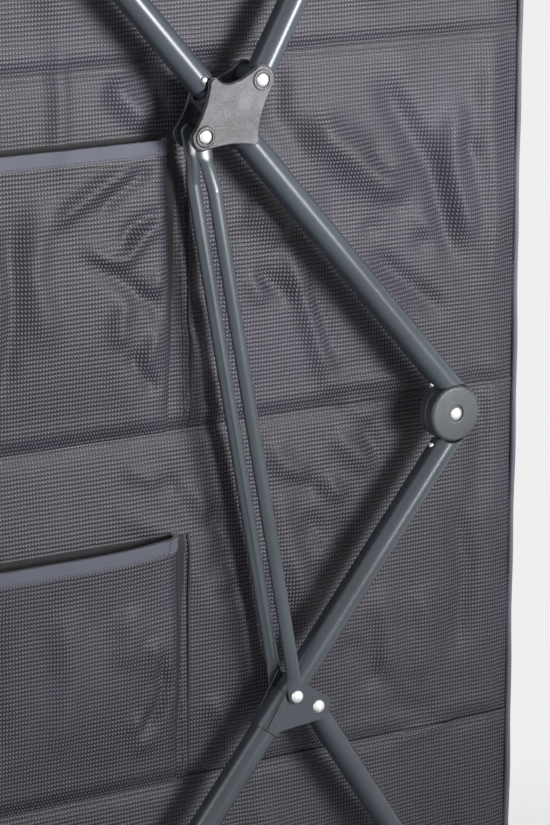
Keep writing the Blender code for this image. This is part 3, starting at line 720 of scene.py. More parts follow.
    def helper(self, name: str, finish: Finish) -> Piece:
        """Finishes a part that a tree copies, which is hidden and then removed at the end.

        Args:
            name: the part's.
            finish: its material.

        Returns:
            The part.
        """
        HELPERS.append(self.finish(name, finish))
        HELPERS[-1].hide_render = True
        return HELPERS[-1]


def link(name: str, mesh: bpy.types.Mesh) -> Piece:
    """A new object in the scene for a mesh.

    Args:
        name: the object's.
        mesh: its mesh.

    Returns:
        The object.
    """
    made = bpy.data.objects.new(name, mesh)
    bpy.context.scene.collection.objects.link(made)
    return made


def settled(piece: Piece) -> Piece:
    """The piece with its modifiers worked into its mesh.

    Args:
        piece: an object with modifiers.

    Returns:
        The same object, without them.
    """
    graph = bpy.context.evaluated_depsgraph_get()
    mesh = bpy.data.meshes.new_from_object(piece.evaluated_get(graph))
    piece.modifiers.clear()
    mesh.name = piece.name
    piece.data = mesh
    return piece


def place_piece(piece: Piece, finish: Finish, body: str, *nodes: str) -> Piece:
    """Hands a finished piece to the frame and reports it.

    Args:
        piece: the finished piece.
        finish: its finish; not used.
        body: the body that it rides on.
        nodes: the nodes that it stands for.

    Returns:
        The piece.
    """
    if nodes:
        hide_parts(*nodes)
    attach(piece, body)
    LOG.info("%s: %d faces on %s", piece.name, len(piece.data.polygons), body)
    return piece


# Geometry Nodes trees


class Grower:
    """A Geometry Nodes tree with named inputs, and the carrier object that it runs on."""

    SOCKETS = {float: "Float", int: "Int", Piece: "Object", bpy.types.Material: "Material"}

    def __init__(self, name: str, **inputs: type) -> None:
        """Starts a tree with its geometry, its finish and its named inputs.

        Args:
            name: the tree's.
            inputs: the type of each input of its own, by name.
        """
        self.tree = bpy.data.node_groups.new(name, "GeometryNodeTree")
        face = self.tree.interface
        for way in ("OUTPUT", "INPUT"):
            face.new_socket("Geometry", in_out=way, socket_type="NodeSocketGeometry")
        self.keys = {}
        for label, kind in {**inputs, "Finish": bpy.types.Material}.items():
            made = face.new_socket(label, in_out="INPUT", socket_type=f"NodeSocket{self.SOCKETS[kind]}")
            self.keys[label] = made.identifier
        self.given = self.tree.nodes.new("NodeGroupInput").outputs
        self.end = self.tree.nodes.new("NodeGroupOutput")

    def add(self, kind: str, settings: dict[str, Any] | None = None, **inputs: Any) -> Socket:
        """Makes a node.

        Args:
            kind: its type.
            settings: its own settings.
            inputs: its sockets' values or links, by name.

        Returns:
            Its first output that is in use.
        """
        named = {key.replace("_", " "): value for key, value in inputs.items()}
        node = make_node(self.tree, kind, settings or {}, named)
        return next(socket for socket in node.outputs if socket.enabled)

    def attribute(self, name: str, kind: str) -> Socket:
        """A named attribute of the points."""
        return self.add("GeometryNodeInputNamedAttribute", {"data_type": kind}, Name=name)

    def copies(self, points: Socket, rotation: Socket) -> Grower:
        """Puts the tree's part on points and closes it.

        Args:
            points: where the copies stand.
            rotation: how each is turned.

        Returns:
            This tree.
        """
        source = self.add("GeometryNodeObjectInfo", Object=self.given["Part"]).node.outputs["Geometry"]
        return self.close(
            self.add("GeometryNodeInstanceOnPoints", Points=points, Instance=source, Rotation=rotation)
        )

    def close(self, geometry: Socket) -> Grower:
        """Realizes what was made, shades it smooth and gives it the material.

        Args:
            geometry: what the tree has made.

        Returns:
            This tree.
        """
        real = self.add("GeometryNodeRealizeInstances", Geometry=geometry)
        shaded = self.add("GeometryNodeSetShadeSmooth", Geometry=real, Shade_Smooth=True)
        done = self.add("GeometryNodeSetMaterial", Geometry=shaded, Material=self.given["Finish"])
        self.tree.links.new(done, self.end.inputs[0])
        return self

    def grow(self, name: str, base: bpy.types.Mesh, finish: Finish, **values: Any) -> Piece:
        """Runs the tree on a mesh.

        Args:
            name: the new piece's name.
            base: the points or lines that the tree works on.
            finish: the piece's finish.
            values: the tree's other inputs, by label.

        Returns:
            A plain mesh object.
        """
        carrier = link("carrier", base)
        modifier = carrier.modifiers.new("grow", "NODES")
        modifier.node_group = self.tree
        for label, value in {**values, "Finish": finish.material()}.items():
            modifier[self.keys[label]] = value
        graph = bpy.context.evaluated_depsgraph_get()
        mesh = bpy.data.meshes.new_from_object(carrier.evaluated_get(graph))
        bpy.data.objects.remove(carrier)
        mesh.name = name
        return link(name, mesh)


def points_mesh(
    points: Sequence[Place], edges: bool = False, **attributes: Sequence[Any]
) -> bpy.types.Mesh:
    """A mesh of bare points, or of one line through them, with attributes for a tree to read.

    Args:
        points: where they are.
        edges: whether a line joins them.
        attributes: a value for each point, by name.

    Returns:
        The mesh.
    """
    mesh = bpy.data.meshes.new("guide")
    lines = [(i, i + 1) for i in range(len(points) - 1)] if edges else []
    mesh.from_pydata([tuple(point) for point in points], lines, [])
    for name, values in attributes.items():
        rows = np.array(values, float)
        key, kind = ("value", "FLOAT") if rows.ndim == 1 else ("vector", "FLOAT_VECTOR")
        mesh.attributes.new(name, kind, "POINT").data.foreach_set(key, rows.ravel())
    return mesh


@cache
def scatter_tree() -> Grower:
    """The tree that puts a part on each point, turned by the point's own attribute.

    Returns:
        The closed tree.
    """
    made = Grower("scatter", Part=Piece)
    points = made.add("GeometryNodeMeshToPoints", Mesh=made.given["Geometry"])
    return made.copies(points, made.attribute("turn", "FLOAT_VECTOR"))


@cache
def stitch_tree() -> Grower:
    """The tree that lays a part at every pitch along a line, with its Z along the line's outward way.

    Returns:
        The closed tree.
    """
    made = Grower("stitches", Part=Piece, Pitch=float)
    curve = made.add("GeometryNodeMeshToCurve", Mesh=made.given["Geometry"])
    even = made.add("GeometryNodeResampleCurve", {"mode": "LENGTH"}, Curve=curve, Length=made.given["Pitch"])
    align = "FunctionNodeAlignRotationToVector"
    upright = made.add(align, {"axis": "Z"}, Vector=made.attribute("out", "FLOAT_VECTOR"))
    tangent = made.add("GeometryNodeInputTangent")
    turned = made.add(align, {"axis": "X", "pivot_axis": "Z"}, Rotation=upright, Vector=tangent)
    return made.copies(even, turned)


@cache
def sweep_tree() -> Grower:
    """The tree that sweeps a round section along a line, with its radius from the line's points.

    Returns:
        The closed tree.
    """
    made = Grower("sweep", Sides=int)
    curve = made.add("GeometryNodeMeshToCurve", Mesh=made.given["Geometry"])
    ring = made.add("GeometryNodeCurvePrimitiveCircle", Resolution=made.given["Sides"], Radius=1.0)
    girth = made.attribute("girth", "FLOAT")
    return made.close(
        made.add("GeometryNodeCurveToMesh", Curve=curve, Profile_Curve=ring, Scale=girth, Fill_Caps=True)
    )


# The folding linkages


@dataclass(frozen=True)
class Leg:
    """A leg's axis on the side plane, with places measured along it from the knuckle."""

    knuckle: Vector
    way: Vector
    outward: Vector
    length: float
    offset: float

    @classmethod
    def through(cls, knuckle: Vector, pin: Vector, hand: int, offset: float) -> Leg:
        """The leg whose axis passes beside the knuckle and through its corner pin.

        Args:
            knuckle: the elbow's place.
            pin: the corner pin's place.
            hand: which side of the axis is outward, 1 or -1.
            offset: how far the axis passes from the knuckle.

        Returns:
            The leg.
        """
        reach = pin - knuckle
        length = math.sqrt(reach.length_squared - offset**2)
        way = (reach * length - across(reach) * hand * offset) / reach.length_squared
        return cls(knuckle, way, across(way) * hand, length, offset)

    def at(self, along: float, aside: float = 0.0) -> Vector:
        """A place along the leg and outwards from its axis."""
        return self.knuckle + self.way * along + self.outward * (self.offset + aside)


@dataclass
class Head:
    """A domed head of a rivet or screw, which the scatter tree repeats."""

    name: str
    radius: float
    height: float
    dimple: float = 0.0

    def __post_init__(self) -> None:
        """Builds the head, standing on z = 0, with a driver's hollow where it has one."""
        dome = [
            (self.height * math.sin(turn), self.radius * math.cos(turn))
            for turn in quarter(9)
            if math.cos(turn) > self.dimple
        ]
        foot = -self.height * 0.3
        if self.dimple:
            dome.append((dome[-1][0] - self.height * 0.35, self.radius * self.dimple * 0.8))
        crown = dome[-1][0] + (0.0 if self.dimple else self.height * 0.004)
        profile = [(foot, 0.0), (foot, self.radius), *dome, (crown, 0.0)]
        shape = Shape().turned(Vector(), Vector((0, 0, 1)), [(at - foot, size) for at, size in profile], 32)
        bmesh.ops.translate(shape.mesh, verts=shape.mesh.verts, vec=(0, 0, foot))
        self.part = shape.helper(self.name, RIVET)

    def spread(self, name: str, seats: Sequence[tuple[Vector, Vector]]) -> Piece:
        """Puts the head on every seat.

        Args:
            name: the piece's name.
            seats: each a place and the way that its head faces.

        Returns:
            The heads as one piece.
        """
        turns = [tuple(facing.to_track_quat("Z", "Y").to_euler()) for _, facing in seats]
        guide = points_mesh([place for place, _ in seats], turn=turns)
        return scatter_tree().grow(name, guide, RIVET, Part=self.part)


def scalloped(
    lobes: Sequence[tuple[Vector, float]], hollows: Sequence[Vector], steps: int = 14
) -> list[Vector]:
    """An outline of round lobes joined by hollow curves, going round anticlockwise.

    Args:
        lobes: the centre and radius of each lobe.
        hollows: the point that pulls in the curve after each lobe.
        steps: the steps round a lobe and along a hollow.

    Returns:
        The outline's points.
    """
    outline: list[Vector] = []
    for i, (centre, radius) in enumerate(lobes):
        before, after = hollows[i - 1], hollows[i]
        arrive = (before - centre).orthogonal().normalized()
        leave = -(after - centre).orthogonal().normalized()
        first, last = math.atan2(arrive.y, arrive.x), math.atan2(leave.y, leave.x)
        outline += arc(centre, radius, first, last + (math.tau if last < first else 0.0), steps)
        next_centre, next_radius = lobes[(i + 1) % len(lobes)]
        start = centre + leave * radius
        end = next_centre + (after - next_centre).orthogonal().normalized() * next_radius
        shares = [step / steps for step in range(1, steps)]
        outline += [start * (1 - t) ** 2 + after * 2 * t * (1 - t) + end * t**2 for t in shares]
    return outline


@dataclass
class Linkage:
    """One side's folding linkage: legs, knuckle, hub, stays, runner, braces and their fasteners."""

    side: Side
    rivet: Head
    screw: Head
    leg_offset: float = 9.8 * MM
    leg_end: float = 12 * MM
    tube_start: float = 25 * MM
    tube_edge: float = 1.4 * MM
    tube_wall: float = 1.2 * MM
    knuckle_radius: float = 17 * MM
    knuckle_face: float = 8 * MM
    knuckle_rim: float = 2.2 * MM
    knuckle_seat: float = 5.2 * MM
    knuckle_crown: float = 0.35 * MM
    knuckle_well: float = 1.1 * MM
    knuckle_edge: float = 0.5 * MM
    knuckle_neck: Lengths = mm(19, 29)  # from, to
    knuckle_web: Lengths = mm(2, 22, 4)  # from, to, half width
    web_inset: float = 2 * MM
    moulded_edge: float = 0.8 * MM
    running_gap: float = 0.3 * MM
    hub_faces: Lengths = mm(8.6, 11.4)  # inner, outer
    hub_lobe_radius: float = 8.8 * MM
    hub_point_radius: float = 3.6 * MM
    hub_top_point: Lengths = mm(269.6, 3.0)  # along the leg, aside
    hub_tip_point: Lengths = mm(227.5, 0.1)  # along the leg, aside
    hub_sleeve: Lengths = mm(228, 266)  # from, to
    hub_sleeve_radius: float = 10.2 * MM
    hub_hollows: tuple[Place, ...] = (
        mm(236, -8),
        mm(236, 9),
        mm(259, 6),
        mm(262, -9),
    )
    hub_step: float = 1.1 * MM
    hub_ring: Lengths = mm(4.5, 6.1, 0.8)  # bore, radius, height
    hub_screw: Lengths = mm(274, 1)  # along the leg, aside
    screw_cup: Lengths = mm(2.1, 3.0, 0.3)  # bore, radius, edge
    cup_ends: Lengths = mm(0.9, 0.25)  # inside the tube's skin, outside it
    rivet_seats: Lengths = mm(0.9, 0.1)  # sunk in the knuckle, proud of the hub
    screw_seats: Lengths = mm(0.1, 0.5)  # sunk in a neck, in the tube at the hub
    stay_width: float = 8.8 * MM
    stay_thickness: float = 5.6 * MM
    stay_centre: float = 11.7 * MM
    stay_tab: Lengths = mm(10, 2.4)  # width, thickness
    stay_tip: float = 0.2 * MM
    stay_top_joggle: Lengths = mm(12, 15, 22, 30, 32)  # its steps from the top pivot
    stay_low_joggle: Lengths = mm(19, 14, 9)  # its steps back from the low pivot
    joggle_start: float = 0.6 * MM
    runner_stay: Lengths = mm(191.8, -1.3)  # along the leg, aside
    runner_sleeve: Lengths = mm(193.5, 218)  # from, to
    runner_wall: float = 1 * MM
    runner_ear: Lengths = mm(183, 8.6)  # where it ends along the leg, half width
    runner_bush: float = 2.5 * MM
    runner_ear_radius: float = 8.5 * MM
    runner_ear_sweep: float = math.radians(112)
    runner_ear_lean: float = math.radians(15)
    upper_brace_angle: float = math.radians(61)
    upper_brace_offset: float = 3.5 * MM
    lower_brace_angle: float = math.radians(57.5)
    lower_brace_length: float = 262 * MM
    lower_brace_radius: float = 7.25 * MM
    clip_length: float = 26 * MM
    clip_wall: float = 1.6 * MM
    clip_edge: float = 3.0 * MM
    clip_lip: Lengths = mm(1.0, 0.8)  # its taper's depth, its length
    clip_grip: Lengths = mm(8, 3.2, 0.7)  # first ring, pitch, depth
    clip_overlap: float = 6 * MM
    neck_screws: Lengths = mm(21.7, 22.7)  # upper, lower

    def __post_init__(self) -> None:
        """Works out the linkage's places from the frame."""
        low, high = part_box(self.node("lower_leg"))
        self.middle = (low.x + high.x) / 2
        self.radius = (high.x - low.x) / 2
        self.knuckle = joint_place("elbow")
        self.lower = Leg.through(self.knuckle, joint_place("frame_fold"), -1, self.leg_offset)
        self.upper = Leg.through(self.knuckle, joint_place("top_level"), 1, self.leg_offset)
        self.stay_top = joint_place("stay_swing")
        self.brace_top = joint_place("upper_brace_swing")
        self.brace_low = joint_place("lower_brace_swing")
        self.stay_low = self.lower.at(*self.runner_stay)
        self.runner_face = self.radius + self.running_gap + self.runner_wall

    def node(self, stem: str) -> str:
        """A node's name on this side."""
        return f"{stem}_{self.side.word}"

    def out(self, distance: float) -> float:
        """The x of a plane at a distance outwards from the linkage's middle."""
        return self.middle + self.side.value * distance

    def between(self, place: Vector, near: float, far: float) -> tuple[Vector, Vector]:
        """Two points across the linkage, at distances outwards from its middle."""
        return spot(self.out(near), place), spot(self.out(far), place)

    def run(self, leg: Leg, ends: Place) -> list[Vector]:
        """Two points on a leg's axis."""
        return [spot(self.middle, leg.at(along)) for along in ends]

    def build(self) -> None:
        """Builds the whole linkage."""
        self.legs()
        self.knuckle_halves()
        self.hub()
        self.stay("stay_outer", 1)
        self.stay("stay_inner", -1)
        self.runner()
        self.brace("upper", self.brace_top, self.radius)
        self.brace("lower", self.brace_low, self.lower_brace_radius)
        self.rivets()

    def legs(self) -> None:
        """The two leg tubes, each with its plugged end past the corner pin."""
        edge, start = self.tube_edge, self.hub_sleeve[0]
        hub_end = self.hub_sleeve[1] + edge * 1.7
        top = self.upper.length + self.leg_end
        shape = self.fitted(self.upper, start + edge)
        profile = self.plugged(top - hub_end, self.radius, edge * 2)
        shape.turned(*self.run(self.upper, (hub_end, top)), profile)
        core = self.run(self.upper, (start, hub_end + self.leg_end))
        shape.bar(*core, self.radius - self.tube_wall, edge)
        shape.dress(self.node("upper_leg"), PAINT, "upper_legs")
        end = self.lower.length + self.leg_end
        shape = self.fitted(self.lower, self.tube_start + edge * 3)
        length = end - self.tube_start
        shape.turned(*self.run(self.lower, (self.tube_start, end)), self.plugged(length, self.radius, edge))
        shape.dress(self.node("lower_leg"), PAINT, "lower_legs")

    def fitted(self, leg: Leg, end: float) -> Shape:
        """A tube from the knuckle, where it is cut round the discs, to an end along the leg.

        Args:
            leg: the leg.
            end: where the tube stops along it.

        Returns:
            The tube.
        """
        reach = self.knuckle_radius + self.running_gap * 2
        edge = self.tube_wall * 0.5
        rings = []
        for share, back in ((0.6, 2.0), (0.88, 1.2), (0.96, 0.35), (1.0, 1.0), (1.0, None)):
            ring = []
            for i in range(ROUND_SIDES):
                turn = math.tau * i / ROUND_SIDES
                aside = math.cos(turn) * share * self.radius
                cut = math.sqrt(max(0.0, reach**2 - (self.leg_offset + aside) ** 2))
                along = end if back is None else cut + edge * back
                ring.append(spot(self.out(math.sin(turn) * share * self.radius), leg.at(along, aside)))
            rings.append(ring)
        return Shape().skin(rings)

    def plugged(self, length: float, radius: float, edge: float) -> Profile:
        """A tube's profile: one rounded end, and one open end with a plug set just inside it.

        Args:
            length: the tube's.
            radius: the tube's.
            edge: the rounded end's.

        Returns:
            (along, radius) pairs.
        """
        wall, sink = self.tube_wall, self.tube_wall * 0.5
        body = [pair for pair in rounded(length, radius, edge) if pair[0] < length / 2]
        rim = [(length - wall * 0.3, radius), (length, radius - wall * 0.3), (length, radius - wall * 0.8)]
        return [*body, *rim, (length - sink, radius - wall), (length - sink, 0.0)]

    def knuckle_halves(self) -> None:
        """The elbow's two moulded discs, each with its web and the neck that its tube is pushed on to."""
        face, radius, rim = self.knuckle_face, self.knuckle_radius, self.knuckle_rim
        gap, seat, crown = self.running_gap / 2, self.knuckle_seat, self.knuckle_crown
        well = face - self.knuckle_well
        soft = self.knuckle_edge
        profile = [(gap, 0.0), (gap, radius - soft), (gap + soft, radius)]
        profile += [
            (face - rim * (1 - math.cos(turn)) - crown, radius - rim * (1 - math.sin(turn)))
            for turn in reversed(quarter(6))
        ]
        profile += [(face, seat + crown * 2), (face - crown / 2, seat), (well, seat - crown), (well, 0.0)]
        near, far, half = self.knuckle_web
        corners = ((near, -half), (far, -half), (far, half), (near, half))
        for stem, leg, way in (("lower", self.lower, -1), ("upper", self.upper, 1)):
            shape = Shape().turned(*self.between(self.knuckle, 0.0, way * face), profile, 72)
            shape.bar(*self.run(leg, self.knuckle_neck), self.radius - self.tube_wall / 2, self.moulded_edge)
            faces = (self.out(way * gap), self.out(way * (face - self.web_inset)))
            shape.plate([leg.at(*corner) for corner in corners], faces, self.moulded_edge)
            shape.dress(self.node(f"{stem}_knuckle"), NYLON, f"{stem}_legs")

    def hub(self) -> None:
        """The hub: two stepped, scalloped plates with raised rings round their rivets, on a sleeve."""
        lobes = (
            (self.stay_top, self.hub_lobe_radius),
            (self.upper.at(*self.hub_tip_point), self.hub_point_radius),
            (self.brace_top, self.hub_lobe_radius),
            (self.upper.at(*self.hub_top_point), self.hub_point_radius),
        )
        hollows = [self.upper.at(*place) for place in self.hub_hollows]
        near, far = self.hub_faces
        edge = self.hub_step * 0.55
        ends, hollow = self.run(self.upper, self.hub_sleeve), self.radius + self.running_gap
        shape = Shape().sleeve(*ends, hollow, self.hub_sleeve_radius, edge)
        inset = [(centre, radius - edge * 1.2) for centre, radius in lobes]
        bore, ring, lip = self.hub_ring
        for way in (-1, 1):
            step = far - self.hub_step
            shape.plate(scalloped(lobes, hollows), (self.out(way * near), self.out(way * step)), edge)
            faces = (self.out(way * (step - edge)), self.out(way * far))
            shape.plate(scalloped(inset, hollows), faces, edge)
            for place in (self.stay_top, self.brace_top):
                ends = self.between(place, way * (far - lip), way * (far + lip))
                shape.sleeve(*ends, bore, ring, lip * 0.9)
        shape.dress(self.node("hub"), CASTING, "upper_legs")

    def stay(self, stem: str, way: int) -> None:
        """One flat oval bar, with a pressed tab and a joggle at each end.

        Args:
            stem: its node's stem.
            way: 1 outside the leg, or -1 inside it.
        """
        run = (self.stay_low - self.stay_top).length
        along = (self.stay_low - self.stay_top) / run
        tab, thin = self.stay_tab
        top = self.hub_faces[0] - self.running_gap - thin / 2
        low = self.runner_face + self.running_gap + thin / 2
        wide, deep, centre = self.stay_width, self.stay_thickness, self.stay_centre
        tip = [(tab / 2 * math.cos(turn), tab * math.sin(turn) + self.stay_tip) for turn in quarter(6)]
        # Each station: how far along, the width, the thickness and how far out from the leg's middle.
        stations = [(-at, width, thin, top) for at, width in tip]
        tab_end, bend, slope, level, even = self.stay_top_joggle
        even_end, low_slope, low_tab = (run - step for step in self.stay_low_joggle)
        stations += [
            (tab_end, tab, thin, top),
            (bend, wide * 0.94, deep * 0.8, top + self.joggle_start),
            (slope, wide * 0.98, deep * 0.98, (top + centre) / 2),
            (level, wide, deep, centre),
            (even, wide, deep, centre),
            (even_end, wide, deep, centre),
            (low_slope, tab * 0.9, deep * 0.86, (centre + low) / 2),
            (low_tab, tab, thin * 1.1, low),
            (run - tab / 2, tab, thin, low),
        ]
        stations += [(run + at, width, thin, low) for at, width in reversed(tip)]
        rings = []
        for at, width, depth, x in stations:
            place, x, aside = self.stay_top + along * at, self.out(way * x), across(along) * width / 2
            turns = [math.tau * i / 32 for i in range(32)]
            rings.append([spot(x + math.sin(t) * depth / 2, place + aside * math.cos(t)) for t in turns])
        Shape().skin(rings).dress(self.node(stem), PAINT, "stays")

    def runner(self) -> None:
        """The sheet bracket: a sleeve round the lower leg and two ears."""
        reach, wall = self.runner_face, self.runner_wall
        shape = Shape().sleeve(*self.run(self.lower, self.runner_sleeve), reach - wall, reach, wall * 0.35)
        foot = self.runner_sleeve[1]
        top, edge = self.runner_ear
        corners = ((foot, 0.0), (foot, -edge / 2), (top, -edge), (top, 0.0))
        outline = [self.lower.at(*corner) for corner in corners]
        lean = math.atan2(self.lower.outward.y, self.lower.outward.x) + self.runner_ear_lean
        half = self.runner_ear_sweep / 2
        outline += arc(self.brace_low, self.runner_ear_radius, lean + half, lean - half, 18)
        for way in (-1, 1):
            shape.plate(outline, (self.out(way * (reach - wall)), self.out(way * reach)), wall * 0.3, 2)
        shape.bar(*self.between(self.brace_low, -reach, reach), self.runner_bush, wall * 0.2, 24)
        shape.dress(self.node("runner"), PAINT, "runners")

    def brace(self, stem: str, pivot: Vector, radius: float) -> None:
        """A brace tube and the ribbed cap on its far end.

        Args:
            stem: "upper" or "lower".
            pivot: its pivot's place.
            radius: its radius.
        """
        start, end = self.brace_line(stem)
        way = (end - start).normalized()
        first, last = start - way * radius * 0.6, end - way * (self.clip_length - self.clip_overlap)
        profile = self.plugged((last - first).length, radius, radius * 0.7)
        shape = Shape().turned(spot(self.middle, first), spot(self.middle, last), profile)
        reach = radius - self.running_gap
        shape.bar(*self.between(pivot, -reach, reach), radius * 0.86, self.moulded_edge)
        shape.dress(self.node(f"{stem}_brace"), PAINT, f"{stem}_braces")
        cap = radius + self.clip_wall
        base, tip = end - way * self.clip_length, end + way * cap
        profile = self.cap((tip - base).length, cap)
        shape = Shape().turned(spot(self.middle, base), spot(self.middle, tip), profile)
        shape.dress(self.node(f"{stem}_clip"), DARK, f"{stem}_braces")

    def brace_line(self, stem: str) -> tuple[Vector, Vector]:
        """The upper or lower brace's axis, from beside its pivot to where its cap meets its catch.

        Args:
            stem: upper or lower.

        Returns:
            The axis's two ends, as (y, z).
        """
        if stem == "lower":
            run = direction(-self.lower_brace_angle) * self.lower_brace_length
            return self.brace_low, self.brace_low + run
        way = direction(self.upper_brace_angle)
        start = self.brace_top + across(way) * self.upper_brace_offset
        return start, start + way * ((joint_place("top_level").y - start.y) / way.y)

    def cap(self, length: float, radius: float) -> Profile:
        """A cap's profile, with shallow grip rings.

        Args:
            length: the cap's.
            radius: the cap's.

        Returns:
            (along, radius) pairs.
        """
        rings = [(0.0, 0.0), (0.0, radius - self.clip_lip[0]), (self.clip_lip[1], radius)]
        first, pitch, depth = self.clip_grip
        for i in range(4):
            for step, sink in ((0.0, 0.0), (0.16, depth), (0.4, depth), (0.56, 0.0)):
                rings.append((first + (i + step) * pitch, radius - sink))
        edge = self.clip_edge
        rings += [
            (length - edge * (1 - math.sin(turn)), radius - edge * (1 - math.cos(turn)))
            for turn in quarter(5)
        ]
        return [*rings, (length, 0.0)]

    def rivets(self) -> None:
        """The bright heads on both faces, and the small screws on the tubes."""
        facing = Vector((self.side.value, 0, 0))
        knuckle, hub = self.knuckle_face - self.rivet_seats[0], self.hub_faces[1] + self.rivet_seats[1]
        stay = self.runner_face + self.stay_tab[1] + self.running_gap
        groups = (
            ("knuckle_rivet", self.knuckle, knuckle, "lower_legs", True),
            ("stay_rivet", self.stay_top, hub, "upper_legs", True),
            ("brace_rivet", self.brace_top, hub, "upper_legs", True),
            ("runner_rivet_heads", self.brace_low, self.runner_face, "runners", False),
            ("stay_rivet_heads", self.stay_low, stay, "stays", False),
        )
        for stem, place, face, body, stands_for in groups:
            seats = [(spot(self.out(way * face), place), facing * way) for way in (-1, 1)]
            name = self.node(stem)
            if stands_for:
                place_piece(self.rivet.spread(f"dressed_{name}", seats), RIVET, body, name)
            else:
                place_piece(self.rivet.spread(name, seats), RIVET, body)
        for word, leg, along in zip(("upper", "lower"), (self.upper, self.lower), self.neck_screws):
            seat = spot(self.middle, leg.at(along, -self.radius + self.screw_seats[0]))
            way = spot(0, -leg.outward).normalized()
            made = self.screw.spread(self.node(f"{word}_neck_screw"), [(seat, way)])
            place_piece(made, RIVET, f"{word}_legs")
        place = self.upper.at(*self.hub_screw)
        seat = spot(self.out(self.radius - self.screw_seats[1]), place)
        made = self.screw.spread(self.node("hub_screw"), [(seat, facing)])
        place_piece(made, RIVET, "upper_legs")
        cup = self.between(place, self.radius - self.cup_ends[0], self.radius + self.cup_ends[1])
        Shape().sleeve(*cup, *self.screw_cup).fit(self.node("hub_screw_cup"), DARK, "upper_legs")


# The base and top frames, the boards and the worktop


